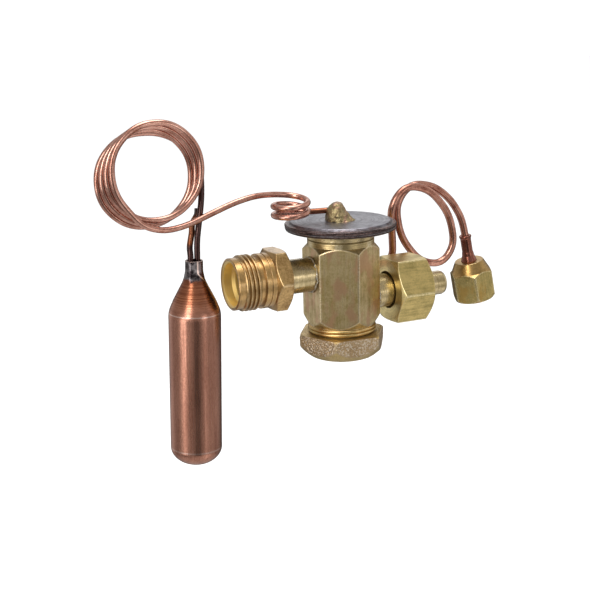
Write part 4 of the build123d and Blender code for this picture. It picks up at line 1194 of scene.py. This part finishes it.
class VALVE_OT_equaliser(bpy.types.Operator):
    """Equaliser tube with its loop, the swaged sleeve and the flare nut"""

    bl_idname = "valve.equaliser"
    bl_label = "Equaliser"

    def execute(self, context):
        t, s, finish = Sizes(context.scene.valve_tubes), Sizes(context.scene.valve_ends), finishes()
        way = Vector((cos(radians(60)), sin(radians(60)), 0))
        face = from_axis(0, 0, -3.0) + way * 12.7
        route = [face - way * 1.98, face + way * 6.5]
        rise = [(16.5, 18.4, -4.6), (25.0, 18.2, -5.2), (32.6, 17.9, -3.0), (31.6, 16.8, 6.6)]
        route += [from_axis(*p) for p in rise]
        for turn, c, u in coil(0, 10, 180, -1):
            x = 42.7 + 4.2 * turn + 13.2 * c - 2.8 * u
            route.append(from_axis(x, 12.6 + 3.4 * turn, 10.2 + 16.0 * u - 2.8 * c))
        route += [from_axis(*p) for p in ((50.6, 16.5, 25.6), (58.7, 16.3, 19.0), (63.4, 16.1, 11.5))]
        place = sleeve_place()
        route += [place @ Vector((0, 0, 2.4)), place @ Vector((0, 0, -7.0))]
        line = tube(route, t.equaliser, sides=28)
        line.piece(
            "equaliser_line", "valve", ["equaliser_tube"], "equaliser_copper", finish["equaliser"]
        )

        sleeve = Form()
        outside, inside, cone, flare = 3.175, 2.3, -18.57, -20.0
        profile = [
            (0.0, 1.52), (0.0, 2.35), (-0.35, 2.55), (-0.75, 2.5), (-1.4, 2.2), (-6.9, 2.2),
            (-7.5, 2.36), (-8.6, 2.5), (-9.4, 2.76), (-10.8, outside), (cone, outside),
            (flare, 4.6), (flare, 3.725), (cone, inside), (-10.8, inside), (-7.6, 1.52),
        ]
        lathe(sleeve, profile, place, closed=True, soft=0.15, turns=72, step=0.6)
        sleeve.piece(
            "swaged_sleeve", "valve", ["equaliser_sleeve"], "equaliser_copper", finish["equaliser"]
        )

        nut = Form()
        top, bottom = -10.9, -10.9 - s.flare_length
        corner = s.flare_nut / sqrt(3)
        profile = [
            (top, 3.22), (top, 5.75), (top - 0.25, 5.95), (top - 4.2, 7.85), (top - 5.2, corner),
            (bottom + 1.4, corner), (bottom, s.flare_nut / 2), (bottom, 5.1), (-20.05, 5.1),
            (-18.12, 3.22),
        ]
        lathe(nut, profile, place, flats=(s.flare_nut, -112.0, 0.3), closed=True, soft=0.2, step=0.3)
        nut.piece("small_nut", "equaliser_nut", ["flare_nut"], "flare_brass", finish["flare"])
        return {"FINISHED"}


class VALVE_OT_inner(bpy.types.Operator):
    """Finishes for the solids that stay as they are"""

    bl_idname = "valve.inner"
    bl_label = "Inner pieces"

    def execute(self, context):
        finish = finishes()
        by_slot = {
            "pin_steel": "steel",
            "spring_steel": "steel",
            "head_steel": "steel",
            "screen_steel": "screen",
            "gasket_grey": "gasket",
            "ring_rubber": "rubber",
            "packing_white": "packing",
            "braze_silver": "silver",
        }
        for row in frame["record"]["subparts"]:
            node = frame["nodes"][row["node"]]
            node.data.materials.clear()
            node.data.materials.append(finish[by_slot.get(row["material_slot"], "inner_brass")])
        return {"FINISHED"}


class VALVE_OT_stage(bpy.types.Operator):
    """Pale floor, soft studio light and the camera"""

    bl_idname = "valve.stage"
    bl_label = "Studio"

    def execute(self, context):
        scene = context.scene
        floor_mesh = bpy.data.meshes.new("floor")
        ways = ((-1, -1), (1, -1), (1, 1), (-1, 1))
        corners = [(x * FLOOR_REACH, y * FLOOR_REACH, FLOOR_HEIGHT) for x, y in ways]
        floor_mesh.from_pydata(corners, [], [(0, 1, 2, 3)])
        floor = bpy.data.objects.new("floor", floor_mesh)
        scene.collection.objects.link(floor)
        pale = list(scene.valve_colours.floor)
        # matt paper with hardly any mottle
        paper = plain("pale_floor_paper", pale, scaled(pale, 0.985), 0.8, 0.0, 0.02)
        floor_mesh.materials.append(paper)

        floor.visible_glossy = False
        floor.visible_shadow = False
        world = bpy.data.worlds.new("studio")
        scene.world = world
        world.use_nodes = True
        tree = world.node_tree
        rays = add(tree, "ShaderNodeLightPath")
        way = add(tree, "ShaderNodeTexCoord")["Generated"]
        up = add(tree, "ShaderNodeSeparateXYZ", {0: way})[2]

        def card(towards, start, full, glow):
            """Light from a card that stands in one direction."""
            inputs = {0: way, 1: Vector(towards).normalized()}
            facing = add(tree, "ShaderNodeVectorMath", inputs, operation="DOT_PRODUCT")
            return remap(facing["Value"], start, full, 0.0, glow)

        tent = remap(up, -0.3, 0.9, 0.4, 0.52)
        tent = tent + remap(up, -0.7, -0.5) * remap(up, -0.4, -0.26, -0.16, 0.0)
        low = remap(up, 0.06, 0.22, 0.92, 0.0)
        behind = card((0.41, 0.91, -0.1), 0.62, 0.9, 1.0) * low
        tent = tent * (1.0 - behind)
        for towards, start, full, glow in (
            ((-0.945, -0.325, -0.12), 0.966, 0.992, 3.2), ((0.4, -0.6, -0.7), 0.92, 0.985, 0.6),
            ((0.4, -0.91, 0.07), 0.982, 0.996, 1.8), ((0.4, -0.88, -0.25), 0.985, 0.997, 0.8),
            ((0.95, -0.3, -0.24), 0.8, 0.97, 0.16), ((0.0, 0.0, -1.0), 0.6, 0.85, 0.24),
            ((0.9, -0.1, 0.35), 0.8, 0.98, 0.35), ((-0.22, -0.945, -0.24), 0.95, 0.99, -0.34),
            ((-0.4, 0.88, -0.24), 0.9, 0.98, 0.35), ((0.05, 0.05, 1.0), 0.9, 0.98, 1.5),
            ((0.42, 0.88, 0.25), 0.9, 0.98, 0.6),
        ):
            tent = tent + card(towards, start, full, glow)
        glossy = maths("MAXIMUM", tent)
        share = maths("MAXIMUM", rays["Is Glossy Ray"], rays["Is Singular Ray"])
        grey = add(tree, "ShaderNodeCombineColor", {0: glossy, 1: glossy, 2: glossy})
        level = mix(share, [SKY_GLOW] * 3, grey)
        level.feed(tree.nodes["Background"].inputs["Color"])

        for name, spot, size, power in (
            ("softbox_left", (-0.6, -0.5, 0.35), (0.3, 0.6), 3.0),
            ("softbox_top", (0.05, -0.05, 0.75), (0.7, 0.5), 3.0),
        ):
            light = bpy.data.lights.new(name, "AREA")
            light.shape = "RECTANGLE"
            light.size, light.size_y = size
            light.energy = power
            lamp = bpy.data.objects.new(name, light)
            lamp.location = spot
            lamp.rotation_euler = Vector(spot).to_track_quat("Z", "Y").to_euler()
            scene.collection.objects.link(lamp)

        around, above, roll = map(radians, (CAMERA_AROUND, CAMERA_ABOVE, CAMERA_ROLL))
        back = Vector((sin(around) * cos(above), -cos(around) * cos(above), sin(above)))
        right = Vector((cos(around), sin(around), 0))
        up = back.cross(right)
        tilted = right * cos(roll) + up * sin(roll)
        upward = up * cos(roll) - right * sin(roll)
        lens = bpy.data.cameras.new("camera")
        lens.lens = CAMERA_LENS
        lens.sensor_width = 36.0
        camera = bpy.data.objects.new("camera", lens)
        turn = Matrix((tilted, upward, back)).transposed().to_4x4()
        camera.matrix_world = Matrix.Translation(Vector(CAMERA_SPOT) * MM) @ turn
        scene.collection.objects.link(camera)
        scene.camera = camera
        scene.view_settings.view_transform = "Standard"
        return {"FINISHED"}


class VALVE_PT_panel(bpy.types.Panel):
    """Sidebar panel with every setting and every step"""

    bl_idname = "VALVE_PT_panel"
    bl_label = "Expansion Valve"
    bl_space_type = "VIEW_3D"
    bl_region_type = "UI"
    bl_category = "Expansion Valve"

    def draw(self, context):
        for name, group in SETTINGS.items():
            box = self.layout.box()
            box.label(text=group.__doc__)
            for key in group.__annotations__:
                box.prop(getattr(context.scene, name), key)
        for step in STEPS:
            self.layout.operator(step.bl_idname)


STEPS = (
    VALVE_OT_inner,
    VALVE_OT_body,
    VALVE_OT_head,
    VALVE_OT_inlet,
    VALVE_OT_outlet,
    VALVE_OT_capillary,
    VALVE_OT_bulb,
    VALVE_OT_equaliser,
    VALVE_OT_stage,
)
CLASSES = (*SETTINGS.values(), *STEPS, VALVE_PT_panel)


def register():
    for cls in CLASSES:
        bpy.utils.register_class(cls)
    for name, group in SETTINGS.items():
        setattr(bpy.types.Scene, name, bpy.props.PointerProperty(type=group))


def unregister():
    for name in SETTINGS:
        delattr(bpy.types.Scene, name)
    for cls in reversed(CLASSES):
        bpy.utils.unregister_class(cls)


def main():
    """Registers the add-on and runs each step in order."""
    register()
    for step in STEPS:
        group, name = step.bl_idname.split(".")
        getattr(getattr(bpy.ops, group), name)()


if __name__ == "__main__":
    main()
